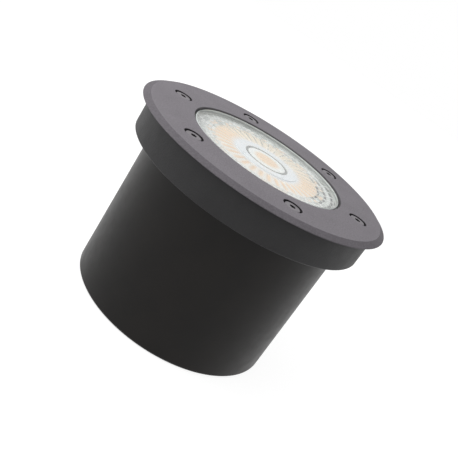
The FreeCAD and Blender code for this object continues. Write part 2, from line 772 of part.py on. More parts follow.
def make_led_holder():
    """Plastic ring that clamps the light source to the heat plate."""
    body = turned_body("led_holder", ring_points("led_holder_opening", "led_holder_radius",
                                                 HEAT_TOP, LED_HOLDER_TOP))
    width = "(led_board_width + 2 * board_clearance)"
    pocket_outline(body, "board_pocket", box_about("0", "0", width, width),
                   LED_BOARD_TOP, f"{LED_BOARD_TOP} - {HEAT_TOP}")
    hole = pocket_circle(body, "screw_hole", ("0", "led_screw_circle"), SMALL_CLEAR_HOLE,
                         LED_HOLDER_TOP, f"{LED_HOLDER_TOP} - {HEAT_TOP}")
    around(body, "screw_holes", [hole], "led_screw_count")
    return body


def make_small_screws(name, places, level, length, count="1"):
    """A group of M3 screws whose heads stand on a level."""
    body = new_body(name)
    heads = new_sketch(body, "heads", level=level)
    shanks = new_sketch(body, "shanks", level=f"{level} - {length}")
    for number, place in enumerate(places):
        add_circle(heads, place, "small_head_radius", f"c{number}")
        add_circle(shanks, place, "small_screw_radius", f"c{number}")
    head = pad(body, "heads", heads, "small_head_height")
    shank = pad(body, "shanks", shanks, length)
    if count != "1":
        around(body, "ring", [head, shank], count)
    return body


def make_heat_plate():
    """Aluminium disc that spreads the light source's heat to the housing."""
    body = turned_body("heat_plate", ring_points("0", HEAT_PLATE_RADIUS, LEDGE, HEAT_TOP))
    through = "heat_plate_thickness"
    hole = pocket_circle(body, "screw_hole", (LUG_CIRCLE, "0"), SMALL_CLEAR_HOLE,
                         HEAT_TOP, through)
    around(body, "screw_holes", [hole], "heat_screw_count")
    tapped = pocket_circle(body, "led_thread", ("0", "led_screw_circle"), SMALL_THREAD_HOLE,
                           HEAT_TOP, through)
    around(body, "led_threads", [tapped], "led_screw_count")
    pocket_circle(body, "lead_hole", (LEAD_X, "0"), "lead_hole_radius", HEAT_TOP, through)
    return body


# ---------------------------------------------------------------------------------------
# Driver and leads
# ---------------------------------------------------------------------------------------
def post_places():
    """Middle points of the driver's four posts."""
    return [(f"{POST_CIRCLE} * cos({angle})", f"{POST_CIRCLE} * sin({angle})")
            for angle in (90, 150, 210, 270)]


def make_driver_board():
    """Circuit board: a disc cut straight on the gland's side."""
    body = turned_body("driver_board", ring_points("0", BOARD_RADIUS, DRIVER_UNDER,
                                                   DRIVER_TOP))
    side = rectangle(BOARD_CHORD, f"{BOARD_RADIUS} + slip", f"-{BOARD_RADIUS}",
                     BOARD_RADIUS)
    pocket_outline(body, "chord", side, DRIVER_TOP, "driver_board_thickness")
    holes = new_sketch(body, "post_holes", level=DRIVER_TOP)
    for number, place in enumerate(post_places()):
        add_circle(holes, place, SMALL_CLEAR_HOLE, f"c{number}")
    pocket(body, "post_holes", holes, "driver_board_thickness")
    return body


def make_driver_transformer():
    """Transformer: a wound bobbin block with a ferrite core round its middle."""
    body = new_body("driver_transformer")
    inner_width = "(transformer_width - core_band)"
    pad_outline(body, "core", box_about("transformer_x", "transformer_y",
                                        "transformer_length", inner_width),
                DRIVER_TOP, "transformer_height")
    inner_length = "(transformer_length - core_band)"
    pad_outline(body, "winding", box_about("transformer_x", "transformer_y",
                                           inner_length, "transformer_width"),
                DRIVER_TOP, "transformer_height - winding_step")
    return body


def make_driver_capacitors():
    """Two upright electrolytic capacitors."""
    body = new_body("driver_capacitors")
    sketch = new_sketch(body, "cans", level=DRIVER_TOP)
    add_circle(sketch, ("capacitor_x", "capacitor_y"), "capacitor_radius", "near")
    add_circle(sketch, ("capacitor_x - capacitor_pitch", "capacitor_y"),
               "capacitor_radius", "far")
    pad(body, "cans", sketch, "capacitor_height")
    return body


def make_driver_inductor():
    """Drum-core inductor with its winding between two cheeks."""
    waist = "inductor_radius - inductor_waist"
    body = turned_body("driver_inductor", [
        ("0", "0"),
        ("inductor_radius", "0"),
        ("inductor_radius", "inductor_height / 4"),
        (waist, "inductor_height / 4"),
        (waist, "inductor_height * 3 / 4"),
        ("inductor_radius", "inductor_height * 3 / 4"),
        ("inductor_radius", "inductor_height"),
        ("0", "inductor_height"),
    ])
    stand_at(body, "inductor_x", INDUCTOR_Y, DRIVER_TOP)
    return body


def make_driver_chip():
    """Switching controller in a flat package."""
    body = new_body("driver_chip")
    pad_outline(body, "package", box_about("chip_x", "0", "chip_length", "chip_width"),
                DRIVER_TOP, "chip_height")
    return body


def make_mains_terminal():
    """Three-way supply terminal, with wire holes facing the gland."""
    body = new_body("mains_terminal")
    pad_outline(body, "block", box_about(MAINS_TERMINAL_X, "0", "mains_terminal_length",
                                         "mains_terminal_width"),
                DRIVER_TOP, "mains_terminal_height")
    face = f"{MAINS_TERMINAL_X} + mains_terminal_length / 2"
    level = f"{DRIVER_TOP} + mains_wire_level"
    sketch = new_sketch(body, "wire_holes", "YZ_Plane", face)
    for way in (-1, 0, 1):
        add_circle(sketch, (f"{way} * mains_wire_pitch", level), "mains_wire_radius",
                   f"c{way + 1}")
    pocket(body, "wire_holes", sketch, "mains_wire_depth")
    return body


def make_lead_terminal():
    """Two-way output terminal, under the lead hole of the heat plate."""
    body = new_body("lead_terminal")
    pad_outline(body, "block", box_about(LEAD_X, "0", "lead_terminal_length",
                                         "lead_terminal_width"),
                DRIVER_TOP, "lead_terminal_height")
    return body


def make_led_lead(name, side):
    """Insulated lead: up from the output terminal, then level into the holder's side."""
    body = new_body(name)
    start = f"{DRIVER_TOP} + lead_terminal_height"
    run = f"({HEAT_TOP} + {LED_HOLDER_TOP}) / 2"
    path = new_sketch(body, "path", "XZ_Plane", f"{-side} * lead_pitch / 2")
    add_lead_path(path, start, run)
    section = new_sketch(body, "section", level=start)
    add_circle(section, (LEAD_X, f"{side} * lead_pitch / 2"), "lead_radius")
    pipe = body.newObject("PartDesign::AdditivePipe", f"{name}_pipe")
    pipe.Profile = section
    pipe.Spine = path
    document.recompute()
    return body


def add_lead_path(path, start, run):
    """An upright run, a quarter bend and a level run."""
    foot = FreeCAD.Vector(value(LEAD_X), value(start), 0)
    bend_low = FreeCAD.Vector(value(LEAD_X), value(f"{run} - lead_bend"), 0)
    bend_far = FreeCAD.Vector(value(f"{LEAD_X} + lead_bend"), value(run), 0)
    end = FreeCAD.Vector(value("-led_holder_radius"), value(run), 0)
    slant = value("lead_bend") * (1 - 0.5 ** 0.5)
    bend_middle = FreeCAD.Vector(foot.x + slant, bend_far.y - slant, 0)
    path.addGeometry(Part.LineSegment(foot, bend_low), False)
    path.addGeometry(Part.Arc(bend_low, bend_middle, bend_far), False)
    path.addGeometry(Part.LineSegment(bend_far, end), False)
    path.addConstraint([
        Sketcher.Constraint("Tangent", 0, 2, 1, 2),
        Sketcher.Constraint("Tangent", 1, 1, 2, 1),
        Sketcher.Constraint("Vertical", 0),
    ])
    fix_point(path, 0, 1, (LEAD_X, start), "foot")
    fix_point(path, 2, 2, ("-led_holder_radius", run), "end")
    path.addConstraint(Sketcher.Constraint("Horizontal", 2))
    rule = Sketcher.Constraint("Radius", 1, value("lead_bend"))
    rule.Name = "bend"
    path.addConstraint(rule)
    path.setExpression("Constraints.bend", bound("lead_bend"))


# ---------------------------------------------------------------------------------------
# Gland, vent and earth screw
# ---------------------------------------------------------------------------------------
def make_gland_body():
    """Gland body: thread through the cup's floor, hexagon below it and a nose for the seal."""
    body = turned_body("gland_body", ring_points(GLAND_BORE, "gland_thread_radius",
                                                 HEX_BOTTOM,
                                                 f"{CUP_FLOOR} + gland_thread_inside"))
    pad_outline(body, "hexagon", hexagon(GLAND_HEX_WIDTH), HEX_BOTTOM, "gland_hex_height")
    pad_circle(body, "nose", ("0", "0"), "gland_nose_radius", NOSE_END, "gland_nose_length")
    pocket_circle(body, "bore", ("0", "0"), GLAND_BORE, f"{CUP_FLOOR} + gland_thread_inside",
                  f"{CUP_FLOOR} + gland_thread_inside - {NOSE_END}")
    stand_at(body, x=CABLE_WAY_X)
    return body


def make_gland_seal():
    """Rubber seal inside the gland's nose, with the bore that grips the cable."""
    body = turned_body("gland_seal", ring_points("cable_radius", f"{GLAND_BORE} - slip",
                                                 NOSE_END,
                                                 f"{NOSE_END} + gland_seal_length"))
    stand_at(body, x=CABLE_WAY_X)
    return body


def make_gland_nut():
    """Hexagonal dome nut that closes the gland's nose round the cable."""
    body = new_body("gland_nut")
    pad_outline(body, "hexagon", hexagon(GLAND_NUT_WIDTH), NUT_BOTTOM, "gland_nut_length")
    depth = f"{NUT_TOP} - {NOSE_END} + gland_nut_gap"
    pocket_circle(body, "thread", ("0", "0"), "gland_nose_radius + gland_nut_running_gap",
                  NUT_TOP, depth)
    pocket_circle(body, "mouth", ("0", "0"), "gland_nut_mouth", NUT_TOP, "gland_nut_length")
    stand_at(body, x=CABLE_WAY_X)
    return body


def make_gland_face_seal():
    """Flat seal between the gland's hexagon and the housing."""
    body = turned_body("gland_face_seal", ring_points("gland_thread_radius + slip",
                                                      "face_seal_radius", HEX_TOP,
                                                      CUP_BOTTOM))
    stand_at(body, x=CABLE_WAY_X)
    return body


def make_gland_locknut():
    """Hexagonal locknut that holds the gland from inside the chamber."""
    body = new_body("gland_locknut")
    pad_outline(body, "hexagon", hexagon(GLAND_HEX_WIDTH), CUP_FLOOR, "locknut_thickness")
    pocket_circle(body, "thread", ("0", "0"), "gland_thread_radius + thread_clearance",
                  f"{CUP_FLOOR} + locknut_thickness", "locknut_thickness")
    stand_at(body, x=CABLE_WAY_X)
    return body


def make_pressure_vent():
    """Vent plug that lets the housing breathe: head outside, stem through the floor."""
    body = turned_body("pressure_vent", [
        ("0", f"{VENT_HEAD_TOP} - vent_head_height"),
        ("vent_head_radius", f"{VENT_HEAD_TOP} - vent_head_height"),
        ("vent_head_radius", VENT_HEAD_TOP),
        ("vent_thread_radius", VENT_HEAD_TOP),
        ("vent_thread_radius", f"{CUP_FLOOR} + vent_stem_inside"),
        ("0", f"{CUP_FLOOR} + vent_stem_inside"),
    ])
    stand_at(body, CABLE_WAY_X, "vent_y")
    return body


def make_vent_seal():
    """Seal ring under the vent's head."""
    body = turned_body("vent_seal", ring_points("vent_thread_radius + slip",
                                                "vent_head_radius", VENT_HEAD_TOP,
                                                CUP_BOTTOM))
    stand_at(body, CABLE_WAY_X, "vent_y")
    return body


def make_earth_screw():
    """Earth screw with its clamping head, on the chamber's earth boss."""
    body = turned_body("earth_screw", [
        ("0", "-earth_screw_length"),
        ("earth_thread_radius", "-earth_screw_length"),
        ("earth_thread_radius", "0"),
        ("earth_head_radius", "0"),
        ("earth_head_radius", "earth_head_height"),
        ("0", "earth_head_height"),
    ])
    stand_at(body, CABLE_WAY_X, "earth_y", EARTH_TOP)
    return body


# ---------------------------------------------------------------------------------------
# Assembly
# ---------------------------------------------------------------------------------------
def make_pieces():
    """Every piece of the light, from the sleeve up."""
    pieces = [
        make_burial_sleeve(),
        make_cable_grommet(),
        make_lamp_housing(),
        make_gland_body(),
        make_gland_seal(),
        make_gland_nut(),
        make_gland_face_seal(),
        make_gland_locknut(),
        make_pressure_vent(),
        make_vent_seal(),
        make_earth_screw(),
        make_driver_board(),
        make_small_screws("driver_screws", post_places(), DRIVER_TOP, "small_screw_length"),
        make_driver_transformer(),
        make_driver_capacitors(),
        make_driver_inductor(),
        make_driver_chip(),
        make_mains_terminal(),
        make_lead_terminal(),
        make_led_lead("led_lead_positive", 1),
        make_led_lead("led_lead_negative", -1),
        make_heat_plate(),
        make_small_screws("heat_plate_screws", [(LUG_CIRCLE, "0")], HEAT_TOP,
                          "(heat_plate_thickness + small_screw_length)", "heat_screw_count"),
        make_square_piece("thermal_pad", "led_board_width", HEAT_TOP, "pad_thickness"),
        make_square_piece("led_board", "led_board_width", PAD_TOP, "led_board_thickness"),
        make_led_emitter(),
        make_led_holder(),
        make_small_screws("led_holder_screws", [("0", "led_screw_circle")], LED_HOLDER_TOP,
                          "small_screw_length", "led_screw_count"),
        make_optic_holder(),
        make_optic_lens(),
        make_lens_gasket(),
        make_lens_glass(),
        make_face_plate(),
        make_screw_washers(),
    ]
    pieces += [make_face_screw(number) for number in range(1, SIZES["screw_count"] + 1)]
    return pieces


def check_document():
    """Stop if any object of the document failed."""
    for item in document.Objects:
        if "Invalid" in item.State or "Error" in item.State:
            raise RuntimeError(f"{item.Label} failed: {item.State}")


def check_piece(piece):
    """Stop if a piece has no sound solid."""
    if piece.Shape.isNull() or not piece.Shape.isValid() or not piece.Shape.Solids:
        raise RuntimeError(f"{piece.Label} has no valid solid")


fill_sheet()
all_pieces = make_pieces()
document.recompute()
check_document()
os.makedirs("parts", exist_ok=True)
for one in all_pieces:
    check_piece(one)
for one in all_pieces:
    one.Shape.exportStep(f"parts/{one.Label}.step")
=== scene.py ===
"""In-ground well light: the looks built round its packed construction model.

Sizes are in millimetres and the scene is in metres, +Z up, in the model's own frame. The
origin is the centre of the sleeve's underside.
"""

import logging
import math
from collections.abc import Callable, Sequence
from dataclasses import dataclass
from enum import Enum

import bmesh
import bpy
from mathutils import Matrix, Vector


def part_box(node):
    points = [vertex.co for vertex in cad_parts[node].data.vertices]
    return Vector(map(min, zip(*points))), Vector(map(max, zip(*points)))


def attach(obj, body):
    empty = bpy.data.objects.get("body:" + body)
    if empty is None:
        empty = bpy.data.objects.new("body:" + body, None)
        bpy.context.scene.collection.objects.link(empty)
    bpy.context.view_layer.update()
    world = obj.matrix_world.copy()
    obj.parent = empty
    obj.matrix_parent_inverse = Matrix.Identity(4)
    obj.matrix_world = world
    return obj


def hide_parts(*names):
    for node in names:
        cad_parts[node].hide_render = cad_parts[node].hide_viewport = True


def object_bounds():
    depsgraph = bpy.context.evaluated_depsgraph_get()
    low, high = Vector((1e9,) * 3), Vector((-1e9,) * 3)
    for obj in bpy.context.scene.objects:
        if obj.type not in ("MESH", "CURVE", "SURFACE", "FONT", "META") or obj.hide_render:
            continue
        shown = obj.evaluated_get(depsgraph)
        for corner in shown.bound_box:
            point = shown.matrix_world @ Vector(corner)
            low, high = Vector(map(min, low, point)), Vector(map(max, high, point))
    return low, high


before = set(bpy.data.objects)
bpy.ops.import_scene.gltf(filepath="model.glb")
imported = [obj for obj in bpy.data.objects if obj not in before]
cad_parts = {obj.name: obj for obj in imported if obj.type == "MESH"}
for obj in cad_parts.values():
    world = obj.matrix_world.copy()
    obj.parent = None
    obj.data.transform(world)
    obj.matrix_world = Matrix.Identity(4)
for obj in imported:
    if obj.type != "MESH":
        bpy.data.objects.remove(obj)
CAD_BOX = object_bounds()
log = logging.getLogger("well_light")

Colour = tuple[float, float, float]
Corner = tuple[float, float, float]
Zone = tuple[float, float, float]
Place = tuple[float, float]
Piece = bpy.types.Object

TURN = 2 * math.pi
MM = 0.001
AXIS: Place = (0.0, 0.0)
AXIS_REACH = 1e-6
OVERLAP = 1.0
WHITE: Colour = (1.0, 1.0, 1.0)
ROUNDING_STEPS = 4
THREAD_STEPS = 36
THREAD_ROWS = 8
SMOOTH_ANGLE = math.radians(32)
UPRIGHT = 0.95


# Mesh making
class Cut(Enum):
    """How one mesh is combined with another."""

    TAKE = "DIFFERENCE"
    ADD = "UNION"
    KEEP = "INTERSECT"


def low(node: str) -> float:
    """The lowest level of a construction node."""
    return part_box(node)[0].z / MM


def high(node: str) -> float:
    """The highest level of a construction node."""
    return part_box(node)[1].z / MM


def outer(node: str) -> float:
    """How far a construction node reaches along +X."""
    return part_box(node)[1].x / MM


def middle(node: str) -> Place:
    """The middle of a construction node, seen from above."""
    centre = sum(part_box(node), Vector()) / 2 / MM
    return centre.x, centre.y


def around(radius: float, degrees: float, at: Place = AXIS) -> Place:
    """The place at a radius and an angle about an upright axis."""
    angle = math.radians(degrees)
    return at[0] + radius * math.cos(angle), at[1] + radius * math.sin(angle)


def spread(radius: float, count: int, start: float = 0.0, at: Place = AXIS) -> list[Place]:
    """Places spread evenly on a circle, the first one at the start angle in degrees."""
    return [around(radius, start + 360 * step / count, at) for step in range(count)]


def corner_reach(width: float) -> float:
    """How far a hexagon's corners reach, from its width across flats."""
    return width / 2 / math.cos(math.radians(30))


def soften(corners: Sequence[Corner]) -> list[Place]:
    """Round the corners of a closed outline.

    Args:
        corners: Radius, level and rounding of each corner, in order.

    Returns:
        The outline's points, as radius and level.
    """
    points: list[Place] = []
    for number, (radius, level, rounding) in enumerate(corners):
        if rounding <= 0:
            points.append((radius, level))
            continue
        here = Vector((radius, level))
        before = Vector(corners[number - 1][:2]) - here
        after = Vector(corners[(number + 1) % len(corners)][:2]) - here
        start = here + before.normalized() * min(rounding, 0.48 * before.length)
        end = here + after.normalized() * min(rounding, 0.48 * after.length)
        for step in range(ROUNDING_STEPS + 1):
            share = step / ROUNDING_STEPS
            point = start * (1 - share) ** 2 + here * 2 * share * (1 - share) + end * share ** 2
            points.append((point.x, point.y))
    return points


def new_piece(name: str, shape: bmesh.types.BMesh) -> Piece:
    """Turn a finished bmesh into an object in the scene.

    Args:
        name: The piece's name.
        shape: The bmesh, which is freed here.

    Returns:
        The new object.
    """
    bmesh.ops.recalc_face_normals(shape, faces=shape.faces)
    mesh = bpy.data.meshes.new(name)
    shape.to_mesh(mesh)
    shape.free()
    piece = bpy.data.objects.new(name, mesh)
    bpy.context.scene.collection.objects.link(piece)
    return piece


def spot(at: Place, level: float) -> Vector:
    """The point of the scene at a place and a level."""
    return Vector((*at, level)) * MM


def ring(count: int, at: Place, section: Callable[[float], Place]) -> list[Vector]:
    """Points about an upright axis, with the radius and level that each angle gives."""
    angles = [360 * step / count for step in range(count)]
    return [spot(around(radius, angle, at), level)
            for angle, (radius, level) in zip(angles, map(section, angles))]


def loft(name: str, rings: Sequence[Sequence[Vector]], closed: bool = True) -> Piece:
    """Skin a row of rings, where a ring of one point is a tip.

    Args:
        name: The piece's name.
        rings: The rings, all with the same number of points apart from tips.
        closed: Whether the last ring joins the first one.

    Returns:
        The new object.
    """
    shape = bmesh.new()
    rows = [[shape.verts.new(point) for point in points] for points in rings]
    for here, after in zip(rows, rows[1:] + rows[:1] if closed else rows[1:]):
        count = max(len(here), len(after))
        for step in range(count if count > 1 else 0):
            corners = [here[step % len(here)], here[(step + 1) % len(here)],
                       after[(step + 1) % len(after)], after[step % len(after)]]
            shape.faces.new(list(dict.fromkeys(corners)))
    return new_piece(name, shape)


def turned(name: str, corners: Sequence[Corner], segments: int, at: Place = AXIS) -> Piece:
    """Turn a closed outline, given as radius, level and rounding, about an upright axis."""
    return loft(name, [ring(segments, at, lambda _, corner=corner: corner)
                       if corner[0] > AXIS_REACH else [spot(at, corner[1])]
                       for corner in soften(corners)])


def tube(name: str, radii: Place, levels: Place, segments: int, at: Place = AXIS,
         rounding: Sequence[float] = (0, 0, 0, 0)) -> Piece:
    """A round piece with a straight bore, or a solid one where its inner radius is 0.

    Args:
        name: The piece's name.
        radii: Its inner and outer radius.
        levels: Its lower and upper level.
        segments: How many steps a full turn has.
        at: Where its axis stands.
        rounding: Its corners' rounding: inner and outer below, outer and inner above.

    Returns:
        The new object.
    """
    (inner, outer), (bottom, top) = radii, levels
    corners = ((inner, bottom), (outer, bottom), (outer, top), (inner, top))
    return turned(name, [(*corner, soft) for corner, soft in zip(corners, rounding)],
                  segments, at)


def prism(name: str, outline: Sequence[Place], bottom: float, top: float) -> Piece:
    """Raise a flat outline between two levels.

    Args:
        name: The piece's name.
        outline: The outline's corners.
        bottom: The lower level.
        top: The upper level.

    Returns:
        The new object.
    """
    shape = bmesh.new()
    lower, upper = [[shape.verts.new(spot(place, level)) for place in outline]
                    for level in (bottom, top)]
    shape.faces.new(lower)
    shape.faces.new(upper)
    for step, start in enumerate(lower):
        after = (step + 1) % len(lower)
        shape.faces.new([start, lower[after], upper[after], upper[step]])
    return new_piece(name, shape)


def threaded(name: str, radius: float, pitch: float, depth: float, levels: Place,
             at: Place) -> Piece:
    """A rod with a helical thread and a lead-in at its lower end.

    Args:
        name: The piece's name.
        radius: The thread's outer radius.
        pitch: Its rise in one turn.
        depth: Its depth.
        levels: The rod's lower and upper level.
        at: Where its axis stands.

    Returns:
        The new object.
    """
    bottom, top = levels
    rows = max(THREAD_ROWS, round((top - bottom) / pitch * THREAD_ROWS))
    rings = [[spot(at, bottom)]]
    for row in range(rows + 1):
        rise = (top - bottom) * row / rows
        lead_in = 0.9 * (1 - min(1.0, rise / (1.5 * pitch)))
        rings.append(ring(THREAD_STEPS, at, lambda angle, rise=rise, lead_in=lead_in: (
            radius - depth * max(1 - abs((rise / pitch - angle / 360) % 1 - 0.5) * 2.6,
                                 lead_in), bottom + rise)))
    return loft(name, [*rings, [spot(at, top)]], closed=False)


def gathered(name: str, pieces: Sequence[Piece]) -> Piece:
    """Make one object of several that don't touch.

    Args:
        name: The new object's name.
        pieces: The objects, which are removed.

    Returns:
        The new object.
    """
    shape = bmesh.new()
    for piece in pieces:
        shape.from_mesh(piece.data)
        bpy.data.objects.remove(piece)
    return new_piece(name, shape)


def repeated(piece: Piece, count: int) -> Piece:
    """Repeat a piece evenly about the light's axis.

    Args:
        piece: The first one, which is removed.
        count: How many there are in all.

    Returns:
        One object that holds them all.
    """
    name, shape = piece.name, bmesh.new()
    for step in range(count):
        mesh = piece.data.copy()
        mesh.transform(Matrix.Rotation(TURN * step / count, 4, "Z"))
        shape.from_mesh(mesh)
    bpy.data.objects.remove(piece)
    return new_piece(name, shape)


def combine(piece: Piece, tool: Piece, cut: Cut) -> None:
    """Combine a piece with a tool, which is then removed.

    Args:
        piece: The object that is changed.
        tool: The object it is combined with.
        cut: What is done.
    """
    step = piece.modifiers.new("combine", "BOOLEAN")
    step.operation = cut.value
    step.solver = "EXACT"
    step.object = tool
    bpy.context.view_layer.update()
    made = piece.evaluated_get(bpy.context.evaluated_depsgraph_get())
    mesh = bpy.data.meshes.new_from_object(made)
    piece.modifiers.clear()
    piece.data = mesh
    bpy.data.objects.remove(tool)


# Node trees
class Output:
    """A node's output, which takes part in sums as a number does."""

    def __init__(self, graph: "Graph", socket: bpy.types.NodeSocket) -> None:
        """Hold an output of a graph."""
        self.graph, self.socket = graph, socket

    def math(self, kind: str, *others: object) -> "Output":
        """The result of a Math node that gets this value first."""
        return self.graph.node("Math", (self, *others), operation=kind)

    def __add__(self, other: object) -> "Output":
        """This plus another value."""
        return self.math("ADD", other)

    def __sub__(self, other: object) -> "Output":
        """This less another value."""
        return self.math("SUBTRACT", other)

    def __rsub__(self, other: object) -> "Output":
        """Another value less this."""
        return self.graph.node("Math", (other, self), operation="SUBTRACT")

    def __mul__(self, other: object) -> "Output":
        """This times another value."""
        return self.math("MULTIPLY", other)

    def __truediv__(self, other: object) -> "Output":
        """This divided by another value."""
        return self.math("DIVIDE", other)

    def __abs__(self) -> "Output":
        """This without its sign."""
        return self.math("ABSOLUTE")

    def step(self, start: float, end: float) -> "Output":
        """A smooth step from 0 at the start to 1 at the end, which may be the lower one."""
        spans = (*sorted((start, end)), float(start > end), float(start <= end))
        return self.graph.node("MapRange", (self, *spans), interpolation_type="SMOOTHSTEP")


class Graph:
    """A node tree, with short calls for the nodes that the finishes use."""

    def __init__(self, owner: bpy.types.Material | bpy.types.World) -> None:
        """Start an empty tree of a material or world."""
        owner.use_nodes = True
        owner.node_tree.nodes.clear()
        self.owner, self.tree = owner, owner.node_tree

    def add(self, kind: str, inputs: object = (), **settings: object) -> bpy.types.Node:
        """Add a node.

        Args:
            kind: Its type's name without the first words.
            inputs: What its inputs get: outputs, numbers or colours, in order or by name.
            settings: What its settings are.

        Returns:
            The node.
        """
        node = self.tree.nodes.new(f"ShaderNode{kind}")
        for key, value in settings.items():
            setattr(node, key, value)
        named = inputs if isinstance(inputs, dict) else dict(enumerate(inputs))
        for key, value in named.items():
            if isinstance(value, Output):
                self.tree.links.new(value.socket, node.inputs[key])
            elif value is not None:
                plain = (*value, 1.0) if isinstance(value, tuple) else value
                node.inputs[key].default_value = plain
        return node

    def node(self, kind: str, inputs: object = (), out: int | str = 0,
             **settings: object) -> Output:
        """Add a node and give one of its outputs."""
        return Output(self, self.add(kind, inputs, **settings).outputs[out])

    def finish(self, surface: Output) -> bpy.types.Material | bpy.types.World:
        """Join a surface to the tree's end and give what the tree belongs to."""
        self.add("OutputWorld" if isinstance(self.owner, bpy.types.World) else "OutputMaterial",
                 {"Surface": surface})
        return self.owner

    def part(self, number: int) -> Output:
        """The x, y or z of a point in the model's frame, by its number."""
        return self.node("SeparateXYZ", (self.place(),), number)

    def place(self) -> Output:
        """The point in the model's frame."""
        return self.node("TexCoord", (), "Object")

    def slope(self, across: Output, up: Output) -> Output:
        """The length of a slope over two legs."""
        return (across * across + up * up).math("SQRT")

    def radius(self) -> Output:
        """The distance from the light's axis."""
        return self.slope(self.part(0), self.part(1))

    def edge(self, radius: float, level: float, width: float) -> Output:
        """A band along a turned edge: 1 on the edge and 0 from the width on."""
        return self.slope(self.radius() - radius * MM,
                          self.part(2) - level * MM).step(width * MM, 0.0)

    def zone(self, start: float, end: float, soft: float) -> Output:
        """1 between two distances from the axis, with borders that are soft on both sides."""
        return (self.radius().step((start - soft) * MM, (start + soft) * MM)
                * self.radius().step((end + soft) * MM, (end - soft) * MM))

    def inside(self) -> Output:
        """1 where a surface is seen from its inner side."""
        return self.node("NewGeometry", (), "Backfacing")

    def rays(self, kind: str, *others: str) -> Output:
        """1 on rays of the kinds that are named."""
        found = self.node("LightPath", (), f"Is {kind} Ray")
        return found.math("MAXIMUM", self.rays(*others)) if others else found

    def noise(self, size: float, detail: float) -> Output:
        """Cloudy noise from 0 to 1, with clouds of a size and some finer layers."""
        return self.node("TexNoise", {"Vector": self.place(), "Scale": 1.0 / (size * MM),
                                      "Detail": detail}, "Fac")

    def cells(self, size: float) -> Output:
        """The distance to the nearest of many scattered points."""
        return self.node("TexVoronoi", {"Vector": self.place(), "Scale": 1.0 / (size * MM)},
                         "Distance")

    def mix(self, share: object, first: object, second: object) -> Output:
        """A blend of two colours by how much of the second one shows."""
        return self.node("Mix", {0: share, 6: first, 7: second}, 2, data_type="RGBA")

    def ramp(self, value: Output, stops: Sequence[tuple[float, Colour]]) -> Output:
        """A colour that follows a value.

        Args:
            value: What is read, from 0 to 1.
            stops: Places and colours, in order.

        Returns:
            The colour's output.
        """
        node = self.add("ValToRGB", (value,))
        elements = node.color_ramp.elements
        elements[0].position, elements[1].position = stops[0][0], stops[-1][0]
        elements[0].color, elements[1].color = (*stops[0][1], 1), (*stops[-1][1], 1)
        for position, colour in stops[1:-1]:
            elements.new(position).color = (*colour, 1)
        return Output(self, node.outputs[0])

    def bump(self, height: Output, reach: float, below: Output | None = None) -> Output:
        """A relief that reaches up to a height, and may lie on another one."""
        return self.node("Bump", {"Strength": 1.0, "Distance": reach * MM, "Height": height,
                                  "Normal": below})

    def blend(self, share: Output, first: Output, second: Output) -> Output:
        """A blend of two surfaces by how much of the second one shows."""
        return self.node("MixShader", (share, first, second))

    def passing(self, surface: Output, colour: Colour, share: float) -> Output:
        """A surface that lets a share of the light, tinted, pass to what lies under it."""
        return self.blend(self.rays("Shadow", "Diffuse") * share, surface,
                          self.node("BsdfTransparent", (colour,)))


# Finishes
def scaled(colour: Colour, share: float) -> Colour:
    """A colour made lighter or darker by a share."""
    return tuple(min(1.0, max(0.0, part * share)) for part in colour)


@dataclass(frozen=True)
class Finish:
    """A moulded, cast or coated surface with grain, cloudy variation and worn edges."""

    name: str
    colour: Colour
    roughness: float
    grain: float = 0.4
    relief: float = 0.01
    variation: float = 0.08
    cloud_share: float = 0.6
    cloud_size: float = 18
    metallic: float = 0.0
    gloss: float = 0.5
    unevenness: float = 0.16
    patch_size: float = 6
    wave_size: float = 9
    wave_share: float = 0.6
    wear: float = 0.0
    wear_size: float = 2.2
    worn_tone: float = 1.9
    edges: tuple[Zone, ...] = ()

    def build(self) -> bpy.types.Material:
        """Make the material, or give the one that was made before.

        Returns:
            The material.
        """
        made = bpy.data.materials.get(self.name)
        if made is None:
            graph = Graph(bpy.data.materials.new(self.name))
            made = graph.finish(self.shader(graph))
        return made

    def tone(self, graph: Graph) -> Output:
        """The surface's colour: cloudy, speckled, and paler along worn edges.

        Args:
            graph: The material's tree.

        Returns:
            The colour's output.
        """
        blend = (graph.noise(self.cloud_size, 4.0) * self.cloud_share
                 + graph.noise(self.grain, 2.0) * (1.0 - self.cloud_share))
        tone = graph.mix(blend.step(0.3, 0.7), scaled(self.colour, 1 - self.variation),
                         scaled(self.colour, 1 + self.variation))
        for edge in self.edges:
            broken = graph.noise(self.wear_size, 5.0).step(0.42, 0.62)
            tone = graph.mix(graph.edge(*edge) * broken * self.wear, tone,
                             scaled(self.colour, self.worn_tone))
        return tone

    def normal(self, graph: Graph) -> Output:
        """The surface's relief: fine grain on shallow waves."""
        waves = graph.bump(graph.noise(self.wave_size, 2.0), self.relief * self.wave_share)
        return graph.bump(graph.noise(self.grain, 3.0), self.relief, waves)

    def shader(self, graph: Graph) -> Output:
        """The surface's shader, with a roughness that is a little uneven."""
        rough = (graph.noise(self.patch_size, 4.0) - 0.5) * self.unevenness + self.roughness
        return graph.node("BsdfPrincipled", {
            "Base Color": self.tone(graph), "Roughness": rough, "Metallic": self.metallic,
            "Specular IOR Level": self.gloss, "Normal": self.normal(graph)})


@dataclass(frozen=True)
class PowderCoat(Finish):
    """Fine-textured powder coat: small rounded grains that fuse together."""

    def normal(self, graph: Graph) -> Output:
        """Grains of two sizes."""
        coarse = graph.bump(graph.cells(self.grain * 1.8), self.relief)
        return graph.bump(graph.noise(self.grain * 0.7, 2.0), self.relief * 0.8, coarse)


